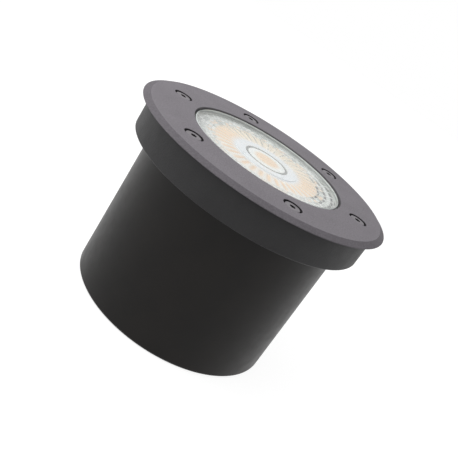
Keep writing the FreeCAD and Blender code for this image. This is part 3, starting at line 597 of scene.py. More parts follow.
@dataclass(frozen=True)
class TurnedMetal(Finish):
    """Bare metal with fine rings left by turning."""

    pitch: float = 0.25

    def normal(self, graph: Graph) -> Output:
        """Rings about the axis over a fine grain."""
        fine = graph.bump(graph.noise(self.grain, 3.0), self.relief)
        return graph.bump((graph.radius() * (TURN / (self.pitch * MM))).math("SINE"),
                          self.relief * 0.4, fine)


@dataclass(frozen=True)
class Laminate(Finish):
    """Circuit board: solder mask over copper tracks on a square net."""

    track: float = 1.6
    bend_size: float = 7
    bend: float = 8.0
    copper_tone: float = 1.7

    def tone(self, graph: Graph) -> Output:
        """Mask that is paler where copper runs beneath it.

        Args:
            graph: The material's tree.

        Returns:
            The colour's output.
        """
        bent = graph.noise(self.bend_size, 1.0) * self.bend
        lines = (graph.part(0) * (TURN / (self.track * MM)) + bent).math("SINE")
        cross = (graph.part(1) * (TURN / (3 * self.track * MM))).math("SINE")
        return graph.mix((lines * cross).step(0.1, 0.3), self.colour,
                         scaled(self.colour, self.copper_tone))


@dataclass(frozen=True)
class Phosphor(Finish):
    """Phosphor field: soft silicone with a fine row pattern of dies beneath it."""

    pitch: float = 1.0
    die_tone: float = 0.78

    def tone(self, graph: Graph) -> Output:
        """Warm yellow, deeper over each die."""
        rows, cross = [(graph.part(axis) * (TURN / (self.pitch * MM))).math("SINE")
                       for axis in (0, 1)]
        return graph.mix((rows * cross).step(0.0, 0.6), self.colour,
                         scaled(self.colour, self.die_tone))


@dataclass(frozen=True)
class ClearGlass(Finish):
    """Clear toughened glass, coated against glare, that lets light fall on what is under it."""

    bending: float = 1.5
    reflecting: float = 0.42
    smear: float = 0.02
    smear_size: float = 14
    wave_size: float = 12

    def shader(self, graph: Graph) -> Output:
        """Glass to what looks through it, and clear to the light that passes.

        Args:
            graph: The material's tree.

        Returns:
            The shader's output.
        """
        both = {"Roughness": graph.noise(self.smear_size, 5.0).step(0.5, 0.8) * self.smear,
                "Normal": graph.bump(graph.noise(self.wave_size, 2.0), self.relief)}
        bent = graph.node("BsdfRefraction", both | {"IOR": self.bending, "Color": self.colour})
        mirror = graph.node("BsdfGlossy", both | {"Color": WHITE})
        coated = graph.inside() * (1.0 - self.reflecting) + self.reflecting
        share = graph.node("Fresnel", {"IOR": self.bending}) * coated
        return graph.passing(graph.blend(share, bent, mirror), self.colour, 1.0)


@dataclass(frozen=True)
class GroundEdge(Finish):
    """Ground edge of the glass: pale when seen through the glass, darkened with painted shade where
    it is seen from the gap.
    """

    passed: float = 0.9
    gap_shade_tone: float = 0.06

    def tone(self, graph: Graph) -> Output:
        """The edge's colour on either side, with painted shade on the side seen from the gap."""
        return graph.mix(graph.inside(), scaled(self.colour, self.gap_shade_tone),
                         super().tone(graph))

    def shader(self, graph: Graph) -> Output:
        """Ground glass that lets part of the light through."""
        return graph.passing(super().shader(graph), self.colour, self.passed)


@dataclass(frozen=True)
class FacetedOptic(Finish):
    """Moulded clear optic whose colour is painted light: a painted reflection of the light source's
    warm colour in its facets, with painted glints and painted shade.

    A zone is two distances from the axis and the reach of its soft borders. The near and
    the far side are those that the photo's viewer sees so.
    """

    # These colours are painted reflection of the light source and its surroundings; the moulding
    # itself is clear.
    warm: Colour = (0.97, 0.68, 0.43)
    cool: Colour = (0.88, 0.90, 0.95)
    pale: Colour = (0.97, 0.97, 0.96)
    straw: Colour = (0.93, 0.92, 0.80)
    shade: Colour = (0.020, 0.026, 0.022)
    painted_facet_tone: Colour = (0.80, 0.83, 0.80)
    sectors: int = 36
    ring_start: float = 32.2
    ring_pitch: float = 4.4
    groove_radius: float = 12.4
    radius_out: float = 44.5
    wobble: float = 1.6
    facing: float = 7.7
    near_side: float = -90.0
    far_side: float = 90.0
    dash_side: float = 4.0
    petal_zone: Zone = (21, 38, 2.5)
    mosaic_zone: Zone = (32.4, 46, 1.2)
    warm_zone: Zone = (32.4, 37, 1.5)
    border_zone: Zone = (30.5, 46, 2.5)
    dash_zone: Zone = (31.5, 43.6, 0.5)
    rim_zone: Zone = (43.1, 43.8, 0.3)

    def cell(self, graph: Graph, pitch: float, sectors: int) -> tuple[Output, Output, Output]:
        """Where a point lies among the facets.

        Args:
            graph: The material's tree.
            pitch: The width of a ring of facets.
            sectors: How many facets a ring has.

        Returns:
            A random number for its facet, the share across its ring, and how near it is to
            its sector's middle: 0 on a seam and 1 in the middle.
        """
        rings = (graph.radius() - self.ring_start * MM) / (pitch * MM)
        number = rings.math("FLOOR").math("MAXIMUM", -1.0)
        turns = graph.part(1).math("ARCTAN2", graph.part(0)) / TURN
        turned_on = turns * float(sectors) + number.math("MODULO", 2.0) * 0.5
        facet = graph.node("CombineXYZ", (number, turned_on.math("FLOOR")))
        chance = graph.node("TexWhiteNoise", {"Vector": facet}, "Value")
        aside = abs(turned_on.math("FRACT") - 0.5)
        return chance, rings.math("FRACT"), 1.0 - aside * 2.0

    def towards(self, graph: Graph, side: float) -> Output:
        """How far a point lies towards one side of the optic, from -1 to 1."""
        x, y = around(1, self.facing + side)
        return (graph.part(0) * x + graph.part(1) * y) / graph.radius()

    def tone(self, graph: Graph) -> Output:
        """Painted reflection of the light source and its surroundings: warm core, pale ring, warm
        petals and a cool mosaic border, under painted shade lines.

        Args:
            graph: The material's tree.

        Returns:
            The colour's output.
        """
        _, across, nearness = self.cell(graph, self.ring_pitch, self.sectors)
        wobble = (graph.noise(5, 3.0) - 0.5) * (self.wobble * MM)
        # Radial bands of painted reflection.
        bands = ((self.warm, 0.0, 0.13), (self.pale, 0.20, 0.26), (self.cool, 0.32, 0.43),
                 (self.warm, 0.53, 0.72), (self.painted_facet_tone, 0.80, 0.94), (self.pale, 0.98, 1.0))
        tone = graph.ramp((graph.radius() + wobble) / (self.radius_out * MM),
                          [(place, colour) for colour, *ends in bands for place in ends])
        tone = self.mosaic(graph, self.petals(graph, tone, nearness))
        return graph.mix(self.painted_shade_lines(graph, across, nearness), tone, self.shade)

    def petals(self, graph: Graph, tone: Output, nearness: Output) -> Output:
        """Warm petals of painted reflection, with seams that carry a painted highlight on the near
        side, and painted shade and a straw-coloured painted reflection on the far side.

        Args:
            graph: The material's tree.
            tone: The colour below.
            nearness: How near a point is to its petal's middle.

        Returns:
            The colour's output.
        """
        zone = graph.zone(*self.petal_zone)
        near = self.towards(graph, self.near_side).step(-0.2, 0.75)
        far = self.towards(graph, self.far_side).step(0.1, 0.8)
        soft = nearness + (graph.noise(2.4, 3.0) - 0.5) * 0.35
        gap = soft.step(0.95, 0.10) * zone
        # Pale seams, stronger on the near side: painted highlight.
        tone = graph.mix(gap * (near * 0.5 + 0.2), tone, self.pale)
        # Straw tint on the far side: painted reflection.
        tone = graph.mix(far * zone * 0.5, tone, self.straw)
        # Dark seams on the far side: painted shade.
        seam = nearness.step(0.26, 0.06) * graph.noise(7, 3.0).step(0.30, 0.55)
        return graph.mix(seam * zone * far * 0.75, tone, self.shade)

    def mosaic(self, graph: Graph, tone: Output) -> Output:
        """Small facets of the border with painted glints and painted shade: some pale, some dull
        and some with the warm painted reflection, paler on the near side as a painted highlight,
        with fine dark seams.

        Args:
            graph: The material's tree.
            tone: The colour below.

        Returns:
            The colour's output.
        """
        chance, across, nearness = self.cell(graph, self.ring_pitch / 2, 2 * self.sectors)
        zone = graph.zone(*self.mosaic_zone)
        # Facets in random tones: painted glints and painted shade.
        tone = graph.mix(zone * 0.85, tone, graph.ramp(chance, [
            (0.0, scaled(self.painted_facet_tone, 0.5)), (0.14, scaled(self.painted_facet_tone, 0.7)),
            (0.34, self.painted_facet_tone), (0.55, scaled(self.pale, 0.86)), (1.0, self.pale)]))
        # Warm facets: painted reflection of the light source.
        warm = chance.step(0.48, 0.52) * chance.step(0.80, 0.76) * graph.zone(*self.warm_zone)
        tone = graph.mix(warm * 0.75, tone, self.warm)
        # Paler near side: painted highlight.
        near = self.towards(graph, self.near_side).step(0.2, 0.75)
        tone = graph.mix(near * graph.zone(*self.border_zone) * 0.6, tone, self.pale)
        beside = nearness.math("MINIMUM", across.math("MINIMUM", 1.0 - across) * 2.0)
        return graph.mix(beside.step(0.24, 0.04) * zone * 0.28, tone, self.shade)

    def painted_shade_lines(self, graph: Graph, across: Output, nearness: Output) -> Output:
        """Painted shade: the groove, the rim's line, and the outer rings' steps as dashes on one
        side.

        Args:
            graph: The material's tree.
            across: The share across a ring.
            nearness: How near a point is to its facet's middle.

        Returns:
            How dark each point is.
        """
        breaks = graph.noise(5, 2.0)
        # Dashes on one side: painted shade of the rings' steps.
        dash = abs(across - 0.18).step(0.22, 0.12) * breaks.step(0.34, 0.46)
        dash = dash * nearness.step(0.12, 0.32) * self.towards(
            graph, self.dash_side).step(0.72, 0.95) * graph.zone(*self.dash_zone)
        # Groove: painted shade.
        away = abs(graph.radius() - self.groove_radius * MM)
        groove = away.step(1.15 * MM, 0.5 * MM) * 0.85
        # Rim line: painted shade.
        rim = graph.zone(*self.rim_zone) * breaks.step(0.4, 0.6) * 0.6
        return dash.math("MAXIMUM", groove.math("MAXIMUM", rim))


class Palette:
    """Every finish of the light. Edges that wear are radius, level and width."""

    rim_edge: Zone = (75, 103.4, 0.7)
    face = PowderCoat("face_coat", (0.205, 0.190, 0.209), 0.66, grain=0.85,
                      relief=0.05, variation=0.15, cloud_share=0.25, gloss=0.22, wear=0.12,
                      edges=((71.5, 105.4, 0.9), rim_edge,
                             (46.2, 105.4, 0.5)))
    # Painted shade: the bevel gets a darker copy of the face coat, for the shade that falls on the
    # sloping rim.
    bevel = PowderCoat("bevel_coat_painted_shade", (0.145, 0.134, 0.148), 0.68, grain=0.85,
                       relief=0.05, variation=0.15, cloud_share=0.25, gloss=0.2, wear=0.2,
                       edges=(rim_edge,))
    # Painted shade: the opening's wall and chamfer are darkened for the shade in the opening.
    opening = PowderCoat("painted_shade_in_opening", (0.120, 0.114, 0.122), 0.7, grain=0.5,
                         relief=0.04, variation=0.12, gloss=0.15)
    # Painted shade: near-black for the shade in the counterbores and the screws' sockets.
    bore = PowderCoat("painted_shade_in_bores", (0.030, 0.029, 0.031), 0.7, grain=0.5,
                      relief=0.04, variation=0.12, gloss=0.15)
    housing = PowderCoat("housing_coat", (0.027, 0.0265, 0.0275), 0.55, grain=0.5,
                         relief=0.05, variation=0.14, gloss=0.3, wear=0.1,
                         edges=((70, 85.2, 0.9), (70, 102.8, 0.7)))
    sleeve = Finish("sleeve_moulding", (0.0062, 0.0050, 0.0043), 0.40, grain=0.35,
                    relief=0.006, variation=0.30, cloud_share=0.8, gloss=0.21, wear=0.2,
                    edges=((60, 0.6, 1.4),))
    screw = Finish("screw_coat", (0.195, 0.182, 0.196), 0.52, grain=0.25,
                   relief=0.012, variation=0.1, gloss=0.3)
    rubber = Finish("rubber", (0.018, 0.018, 0.018), 0.72, grain=0.3, relief=0.02,
                    variation=0.15)
    silicone = Finish("silicone", (0.76, 0.79, 0.77), 0.6, relief=0.015, variation=0.12)
    nylon = Finish("nylon", (0.03, 0.03, 0.033), 0.45, relief=0.012, variation=0.12)
    glass = ClearGlass("toughened_glass", (0.985, 0.992, 0.988), 0.0, relief=0.004)
    # Painted highlight: the glass's top chamfer is opaque and pale, standing for its edge catching
    # the light.
    arris = Finish("glass_arris_painted_highlight", (0.74, 0.79, 0.77), 0.35, variation=0.06, gloss=0.4)
    # Painted shade: the ground edge is dark where it is seen from the gap.
    ground = GroundEdge("ground_glass_edge", (0.76, 0.80, 0.78), 0.6, relief=0.02,
                        variation=0.1, gloss=0.2)
    # Painted light: the optic's colours are painted reflection of the light source, with painted
    # glints and painted shade.
    optic = FacetedOptic("optic_moulding", (0.8, 0.8, 0.78), 0.25, grain=0.8,
                         relief=0.02, gloss=0.12)
    white = Finish("white_moulding", (0.74, 0.74, 0.72), 0.42, variation=0.04)
    aluminium = TurnedMetal("turned_aluminium", (0.70, 0.71, 0.72), 0.34, grain=0.3,
                            relief=0.008, variation=0.05, metallic=1.0)
    zinc = Finish("zinc_plate", (0.58, 0.59, 0.60), 0.32, grain=0.3, relief=0.008,
                  metallic=1.0)
    brass = Finish("brass", (0.66, 0.47, 0.20), 0.3, grain=0.3, relief=0.008,
                   variation=0.1, metallic=1.0)
    board = Laminate("board_mask", (0.03, 0.16, 0.07), 0.35)
    ceramic = Finish("ceramic", (0.8, 0.8, 0.77), 0.5, grain=0.3, variation=0.04)
    phosphor = Phosphor("phosphor", (0.88, 0.62, 0.2), 0.4, grain=0.3)
    pad = Finish("heat_pad", (0.36, 0.37, 0.39), 0.8, relief=0.02)
    black = Finish("component_moulding", (0.025, 0.025, 0.026), 0.5, grain=0.3,
                   relief=0.015, variation=0.14)
    film = Finish("shrink_film", (0.03, 0.035, 0.09), 0.28, grain=0.6, relief=0.006,
                  variation=0.1)
    green = Finish("terminal_moulding", (0.05, 0.24, 0.09), 0.42, relief=0.012)
    red_lead = Finish("red_insulation", (0.45, 0.025, 0.02), 0.4, relief=0.008)
    black_lead = Finish("black_insulation", (0.02, 0.02, 0.02), 0.4, relief=0.008)


def dress(piece: Piece, finish: Finish, body: str, node: str) -> None:
    """Give a finished mesh its surface, its body and the node that it stands for.

    Args:
        piece: The object.
        finish: Its finish.
        body: The construction body it moves with.
        node: The construction node it replaces.
    """
    piece.data.materials.clear()
    piece.data.materials.append(finish.build())
    piece.data.shade_smooth()
    piece.data.set_sharp_from_angle(angle=SMOOTH_ANGLE)
    piece.modifiers.new("even_shading", "WEIGHTED_NORMAL").keep_sharp = True
    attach(piece, body)
    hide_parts(node)
    log.info("%s stands for %s: %d faces", piece.name, node, len(piece.data.polygons))


def second_finish(piece: Piece, finish: Finish, chosen: Callable[[Vector, Vector], bool]) -> None:
    """Give some faces of a dressed piece another surface.

    Args:
        piece: The object.
        finish: The other finish.
        chosen: Says from a face's middle and normal whether it gets that finish.
    """
    piece.data.materials.append(finish.build())
    number = len(piece.data.materials) - 1
    for face in piece.data.polygons:
        if chosen(face.center / MM, face.normal):
            face.material_index = number


class Recoated:
    """A sub-assembly whose construction shapes stay and get better surfaces."""

    finishes: dict[str, Finish] = {}

    def build(self) -> None:
        """Finish every node of the sub-assembly."""
        for node, finish in self.finishes.items():
            material = finish.build()
            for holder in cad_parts[node].material_slots:
                holder.material = material
            log.info("%s keeps its shape and is finished in %s", node, finish.name)


# Sleeve
@dataclass
class BurialSleeve:
    """The plastic can that stands in the ground, with the grommet in its floor."""

    wall: float = 3.0
    floor: float = 4.0
    foot_chamfer: float = 1.2
    rim_step: float = 0.8
    shoulder: float = 84.2
    drain_radius: float = 4.0
    drain_flare: float = 0.4
    drain_circle: float = 42.0
    drain_count: int = 5
    drain_start: float = 180.0
    hole_radius: float = 8.0
    recess_radius: float = 10.6
    recess_depth: float = 1.8
    grommet_bore: float = 5.0
    grommet_lip: float = 10.5
    grommet_fit: float = 0.1

    def build(self) -> None:
        """Build the sleeve and its grommet."""
        self.build_can()
        self.build_grommet()

    def build_can(self) -> None:
        """Turn the can and cut its holes."""
        radius, top = outer("burial_sleeve"), high("burial_sleeve")
        rim, bore, at = radius - self.rim_step, radius - self.wall, middle("cable_grommet")
        can = turned("sleeve_can", [
            (0, 0, 0), (radius - self.foot_chamfer, 0, 0.5),
            (radius, self.foot_chamfer, 0.5), (radius, self.shoulder, 0.2),
            (rim, self.shoulder, 0), (rim, top, 0.4), (bore, top, 0.4),
            (bore, self.floor, 1.6), (0, self.floor, 0)], segments=256)
        drain, flare, above = self.drain_radius, self.drain_flare, self.floor + OVERLAP
        outline = [(0, -OVERLAP, 0), (drain + flare, -OVERLAP, 0), (drain + flare, 0, 0),
                   (drain, flare, 0), (drain, self.floor - flare, 0),
                   (drain + flare, self.floor, 0), (drain + flare, above, 0), (0, above, 0)]
        holes = [tube("hole", (0, self.hole_radius), (-OVERLAP, above), 64, at)]
        for place in spread(self.drain_circle, self.drain_count, self.drain_start):
            holes.append(turned("drain", outline, 48, place))
        combine(can, gathered("holes", holes), Cut.TAKE)
        combine(can, tube("recess", (0, self.recess_radius), (-OVERLAP, self.recess_depth), 64, at,
                          (0, 0, 0.2, 0)), Cut.TAKE)
        dress(can, Palette.sleeve, "sleeve", "burial_sleeve")

    def build_grommet(self) -> None:
        """Turn the grommet with its two rounded lips."""
        bottom, top = low("cable_grommet"), high("cable_grommet")
        bore, lip, neck = self.grommet_bore, self.grommet_lip, self.hole_radius - self.grommet_fit
        grommet = turned("sleeve_grommet", [
            (bore, bottom, 0.5), (lip, bottom, 0.6),
            (lip, self.recess_depth, 0.3), (neck, self.recess_depth, 0.1),
            (neck, self.floor, 0.1), (lip, self.floor, 0.3),
            (lip, top, 0.8), (bore, top, 0.5)], 96, middle("cable_grommet"))
        dress(grommet, Palette.rubber, "sleeve", "cable_grommet")


# Housing
@dataclass
class LampHousing:
    """The cast housing: collar, screw bosses, finned cup and driver chamber."""

    collar_bottom: float = 85.0
    collar_inner: float = 66.3
    skirt_inner: float = 60.4
    collar_chamfer: float = 0.6
    web_top: float = 98.6
    web_under: float = 92.6
    pocket_radius: float = 51.8
    seat: float = 95.7
    cup_inner: float = 46.0
    cup_radius: float = 49.0
    ledge: float = 60.6
    chamber_radius: float = 42.0
    floor_top: float = 44.6
    boss_bottom: float = 88.4
    boss_radius: float = 6.0
    screw_circle: float = 57.7
    screw_count: int = 6
    thread_radius: float = 2.55
    thread_bottom: float = 89.0
    core_outer: float = 66.8
    core_width: float = 4.8
    core_length: float = 22.0
    core_count: int = 12
    fin_tip: float = 56.2
    fin_thickness: float = 2.0
    fin_rounding: float = 0.6
    fin_count: int = 24
    overlap: float = 0.5
    lug_circle: float = 38.5
    lug_radius: float = 4.2
    lug_count: int = 3
    lug_tap_depth: float = 9
    post_circle: float = 29.0
    post_radius: float = 3.0
    post_height: float = 4.0
    post_angles: tuple[float, ...] = (90, 150, 210, 270)
    earth_radius: float = 4.5
    earth_height: float = 5.0
    earth_tap: float = 2.05
    tap_radius: float = 1.55
    tap_floor: float = 0.2
    gland_hole: float = 8.1
    vent_hole: float = 3.1

    def build(self) -> None:
        """Turn the casting, add its fins, bosses and pillars, and cut its holes."""
        radius, bottom, top = outer("lamp_housing"), low("lamp_housing"), high("lamp_housing")
        housing = turned("housing_casting", [
            (0, bottom, 0), (self.cup_radius, bottom, 1.2), (self.cup_radius, self.web_under, 1.0),
            (self.skirt_inner, self.web_under, 0.8), (self.skirt_inner, self.collar_bottom, 0.3),
            (radius - self.collar_chamfer, self.collar_bottom, 0.3),
            (radius, self.collar_bottom + self.collar_chamfer, 0.3), (radius, top, 0.35),
            (self.collar_inner, top, 0.3), (self.collar_inner, self.web_top, 0.4),
            (self.pocket_radius, self.web_top, 0.3), (self.pocket_radius, self.seat, 0.3),
            (self.cup_inner, self.seat, 0.3), (self.cup_inner, self.ledge, 0.4),
            (self.chamber_radius, self.ledge, 0.3), (self.chamber_radius, self.floor_top, 0.8),
            (0, self.floor_top, 0)], segments=256)
        boss = tube("bosses", (0, self.boss_radius),
                    (self.boss_bottom, self.web_top - self.overlap), 48,
                    (self.screw_circle, 0), (0, 0.4, 0, 0))
        root = self.floor_top - self.overlap
        pillars = [turned("pillar", [(0, root, 0), (radius, root, 0), (radius, top, 0.3),
                                     (tap, top, 0), (tap, tap_end, 0), (0, tap_end, 0)], 40, at)
                   for at, radius, top, tap, tap_end in self.pillars()]
        combine(housing, self.fins(), Cut.ADD)
        combine(housing, repeated(boss, self.screw_count), Cut.ADD)
        combine(housing, gathered("pillars", pillars), Cut.ADD)
        combine(housing, self.holes(), Cut.TAKE)
        dress(housing, Palette.housing, "lamp", "lamp_housing")

    def fins(self) -> Piece:
        """The upright fins, each with a rounded tip.

        Returns:
            One object with them all.
        """
        half, root = self.fin_thickness / 2, self.cup_radius - 1.5
        bulge = half * self.fin_rounding
        arc = [(self.fin_tip - bulge + bulge * x, half * y)
               for x, y in [around(1, -90 + 22.5 * step) for step in range(9)]]
        fin = prism("fins", [(root, -half), *arc, (root, half)], low("lamp_housing"),
                    self.web_under + self.overlap)
        return repeated(fin, self.fin_count)

    def pillars(self) -> list[tuple[Place, float, float, float, float]]:
        """The heat plate's lugs, the driver's posts and the earth boss, each with its tap.

        Returns:
            The place, radius, top, tapped radius and tap's bottom of each.
        """
        tap, floor, post_top = self.tap_radius, self.floor_top, self.floor_top + self.post_height
        lugs = [(at, self.lug_radius, self.ledge - 0.01, tap, self.ledge - self.lug_tap_depth)
                for at in spread(self.lug_circle, self.lug_count)]
        posts = [(around(self.post_circle, angle), self.post_radius, post_top, tap,
                  floor + self.tap_floor) for angle in self.post_angles]
        return [*lugs, *posts, (middle("earth_screw"), self.earth_radius,
                                floor + self.earth_height, self.earth_tap,
                                floor + self.tap_floor)]

    def holes(self) -> Piece:
        """The threaded and the through holes, and the cored pockets.

        Returns:
            One object with all the tools.
        """
        half, inner = self.core_length / 2, self.core_outer - self.core_width
        core = prism("core", [(inner, -half), (self.core_outer, -half), (self.core_outer, half),
                              (inner, half)], self.collar_bottom - OVERLAP, self.web_under)
        thread = tube("thread", (0, self.thread_radius),
                      (self.thread_bottom, self.web_top + OVERLAP), 40, (self.screw_circle, 0))
        tools = [repeated(core, self.core_count), repeated(thread, self.screw_count)]
        through = (low("lamp_housing") - OVERLAP, self.floor_top + OVERLAP)
        for node, radius in (("gland_body", self.gland_hole), ("pressure_vent", self.vent_hole)):
            tools.append(tube("through", (0, radius), through, 40, middle(node)))
        return gathered("tools", tools)


# Cable gland and pressure vent
class PlainSeals(Recoated):
    """The seals and the locknut of the gland and vent, whose shapes are kept."""

    finishes = {"gland_face_seal": Palette.rubber, "gland_locknut": Palette.nylon,
                "vent_seal": Palette.rubber}


@dataclass
class CableGland:
    """The gland under the housing: body, nut and the seal that grips the cable."""

    thread_radius: float = 8.0
    thread_pitch: float = 1.5
    thread_depth: float = 0.7
    body_width: float = 20.0
    nut_width: float = 19.0
    hex_height: float = 5.0
    flat_share: float = 0.985
    corner_slope: float = 0.55
    nose_radius: float = 7.4
    bore: float = 6.1
    nut_mouth: float = 5.6
    mouth_wall: float = 4.0
    dome_share: float = 0.8
    dome_height: float = 4.2
    seal_bore: float = 4.0
    seal_fit: float = 0.1
    running_gap: float = 0.08

    def build(self) -> None:
        """Build the gland's pieces."""
        self.build_body()
        self.build_nut()
        seal = tube("gland_rubber_seal", (self.seal_bore, self.bore - self.seal_fit),
                    (low("gland_seal"), high("gland_seal")), 72, middle("gland_seal"),
                    (0.3, 0.4, 0.4, 0.3))
        dress(seal, Palette.rubber, "lamp", "gland_seal")

    def build_body(self) -> None:
        """The gland's body: hexagon with turned corners, upper thread and nose, bored."""
        at, bottom, top = middle("gland_body"), low("gland_body"), high("gland_body")
        hex_top = low("gland_face_seal")
        hex_bottom = hex_top - self.hex_height
        reach, flat = corner_reach(self.body_width), self.body_width / 2 * self.flat_share
        rise = (reach - flat) * self.corner_slope
        body = prism("gland_shank", spread(reach, 6, 30, at), hex_bottom, hex_top)
        combine(body, turned("turned_off", [
            (0, hex_bottom, 0), (flat, hex_bottom, 0), (reach, hex_bottom + rise, 0),
            (reach, hex_top - rise, 0), (flat, hex_top, 0), (0, hex_top, 0)], 96, at), Cut.KEEP)
        combine(body, threaded("thread", self.thread_radius, self.thread_pitch,
                               self.thread_depth, (hex_top - OVERLAP, top), at), Cut.ADD)
        combine(body, tube("nose", (0, self.nose_radius), (bottom, hex_top - OVERLAP), 72, at,
                           (0, 0.4, 0, 0)), Cut.ADD)
        combine(body, tube("bore", (0, self.bore), (bottom - OVERLAP, top + OVERLAP), 72, at),
                Cut.TAKE)
        dress(body, Palette.nylon, "lamp", "gland_body")

    def build_nut(self) -> None:
        """The dome nut, rounded in towards the cable at its lower end."""
        at, bottom, top = middle("gland_nut"), low("gland_nut"), high("gland_nut")
        reach, half = corner_reach(self.nut_width), self.nut_width / 2
        nut = prism("gland_dome_nut", spread(reach, 6, 30, at), bottom, top)
        combine(nut, turned("dome", [
            (0, bottom, 0), (half * self.dome_share, bottom, 1.6),
            (reach, bottom + self.dome_height, 1.0), (reach, top - 0.6, 0),
            (half * self.flat_share, top, 0), (0, top, 0)], 96, at), Cut.KEEP)
        inside, flare = self.nose_radius + self.running_gap, self.nut_mouth + 0.5
        wall = bottom + self.mouth_wall
        combine(nut, turned("bore", [
            (0, bottom - OVERLAP, 0), (flare, bottom - OVERLAP, 0), (flare, bottom, 0),
            (self.nut_mouth, bottom + 0.6, 0), (self.nut_mouth, wall, 0),
            (inside, wall, 0), (inside, top + OVERLAP, 0), (0, top + OVERLAP, 0)], 72, at),
            Cut.TAKE)
        dress(nut, Palette.nylon, "gland_nut", "gland_nut")


@dataclass
class PressureVent:
    """The vent plug beside the gland, with its slotted cap."""

    head_radius: float = 5.0
    head_height: float = 3.0
    stem_radius: float = 3.0
    thread_pitch: float = 1.0
    thread_depth: float = 0.5
    slot_radius: float = 0.5
    slot_inset: float = 0.8
    slot_count: int = 8

    def build(self) -> None:
        """Build the plug with its threaded stem and slots."""
        at, bottom, top = middle("pressure_vent"), low("pressure_vent"), high("pressure_vent")
        under = bottom + self.head_height
        plug = tube("vent_plug", (0, self.head_radius), (bottom, under), 72, at,
                    (0, 0.8, 0.2, 0))
        combine(plug, threaded("stem", self.stem_radius, self.thread_pitch, self.thread_depth,
                               (under - 0.5, top), at), Cut.ADD)
        slots = [tube("slot", (0, self.slot_radius), (bottom + self.slot_inset,
                                                      under - self.slot_inset), 16, place)
                 for place in spread(self.head_radius, self.slot_count, 0.0, at)]
        combine(plug, gathered("slots", slots), Cut.TAKE)
        dress(plug, Palette.nylon, "lamp", "pressure_vent")


# Driver, light source and optic
class Driver(Recoated):
    """The supply circuit in the chamber: board, components, screws and leads."""

    finishes = {
        "driver_board": Palette.board, "driver_screws": Palette.zinc,
        "driver_transformer": Palette.black, "driver_capacitors": Palette.film,
        "driver_inductor": Palette.black, "driver_chip": Palette.black,
        "mains_terminal": Palette.green, "lead_terminal": Palette.green,
        "led_lead_positive": Palette.red_lead, "led_lead_negative": Palette.black_lead,
        "earth_screw": Palette.brass}


class LightSource(Recoated):
    """The light source, its holder and the plate that carries its heat."""

    finishes = {
        "heat_plate": Palette.aluminium, "heat_plate_screws": Palette.zinc,
        "thermal_pad": Palette.pad, "led_board": Palette.ceramic,
        "led_emitter": Palette.phosphor, "led_holder": Palette.white,
        "led_holder_screws": Palette.zinc}


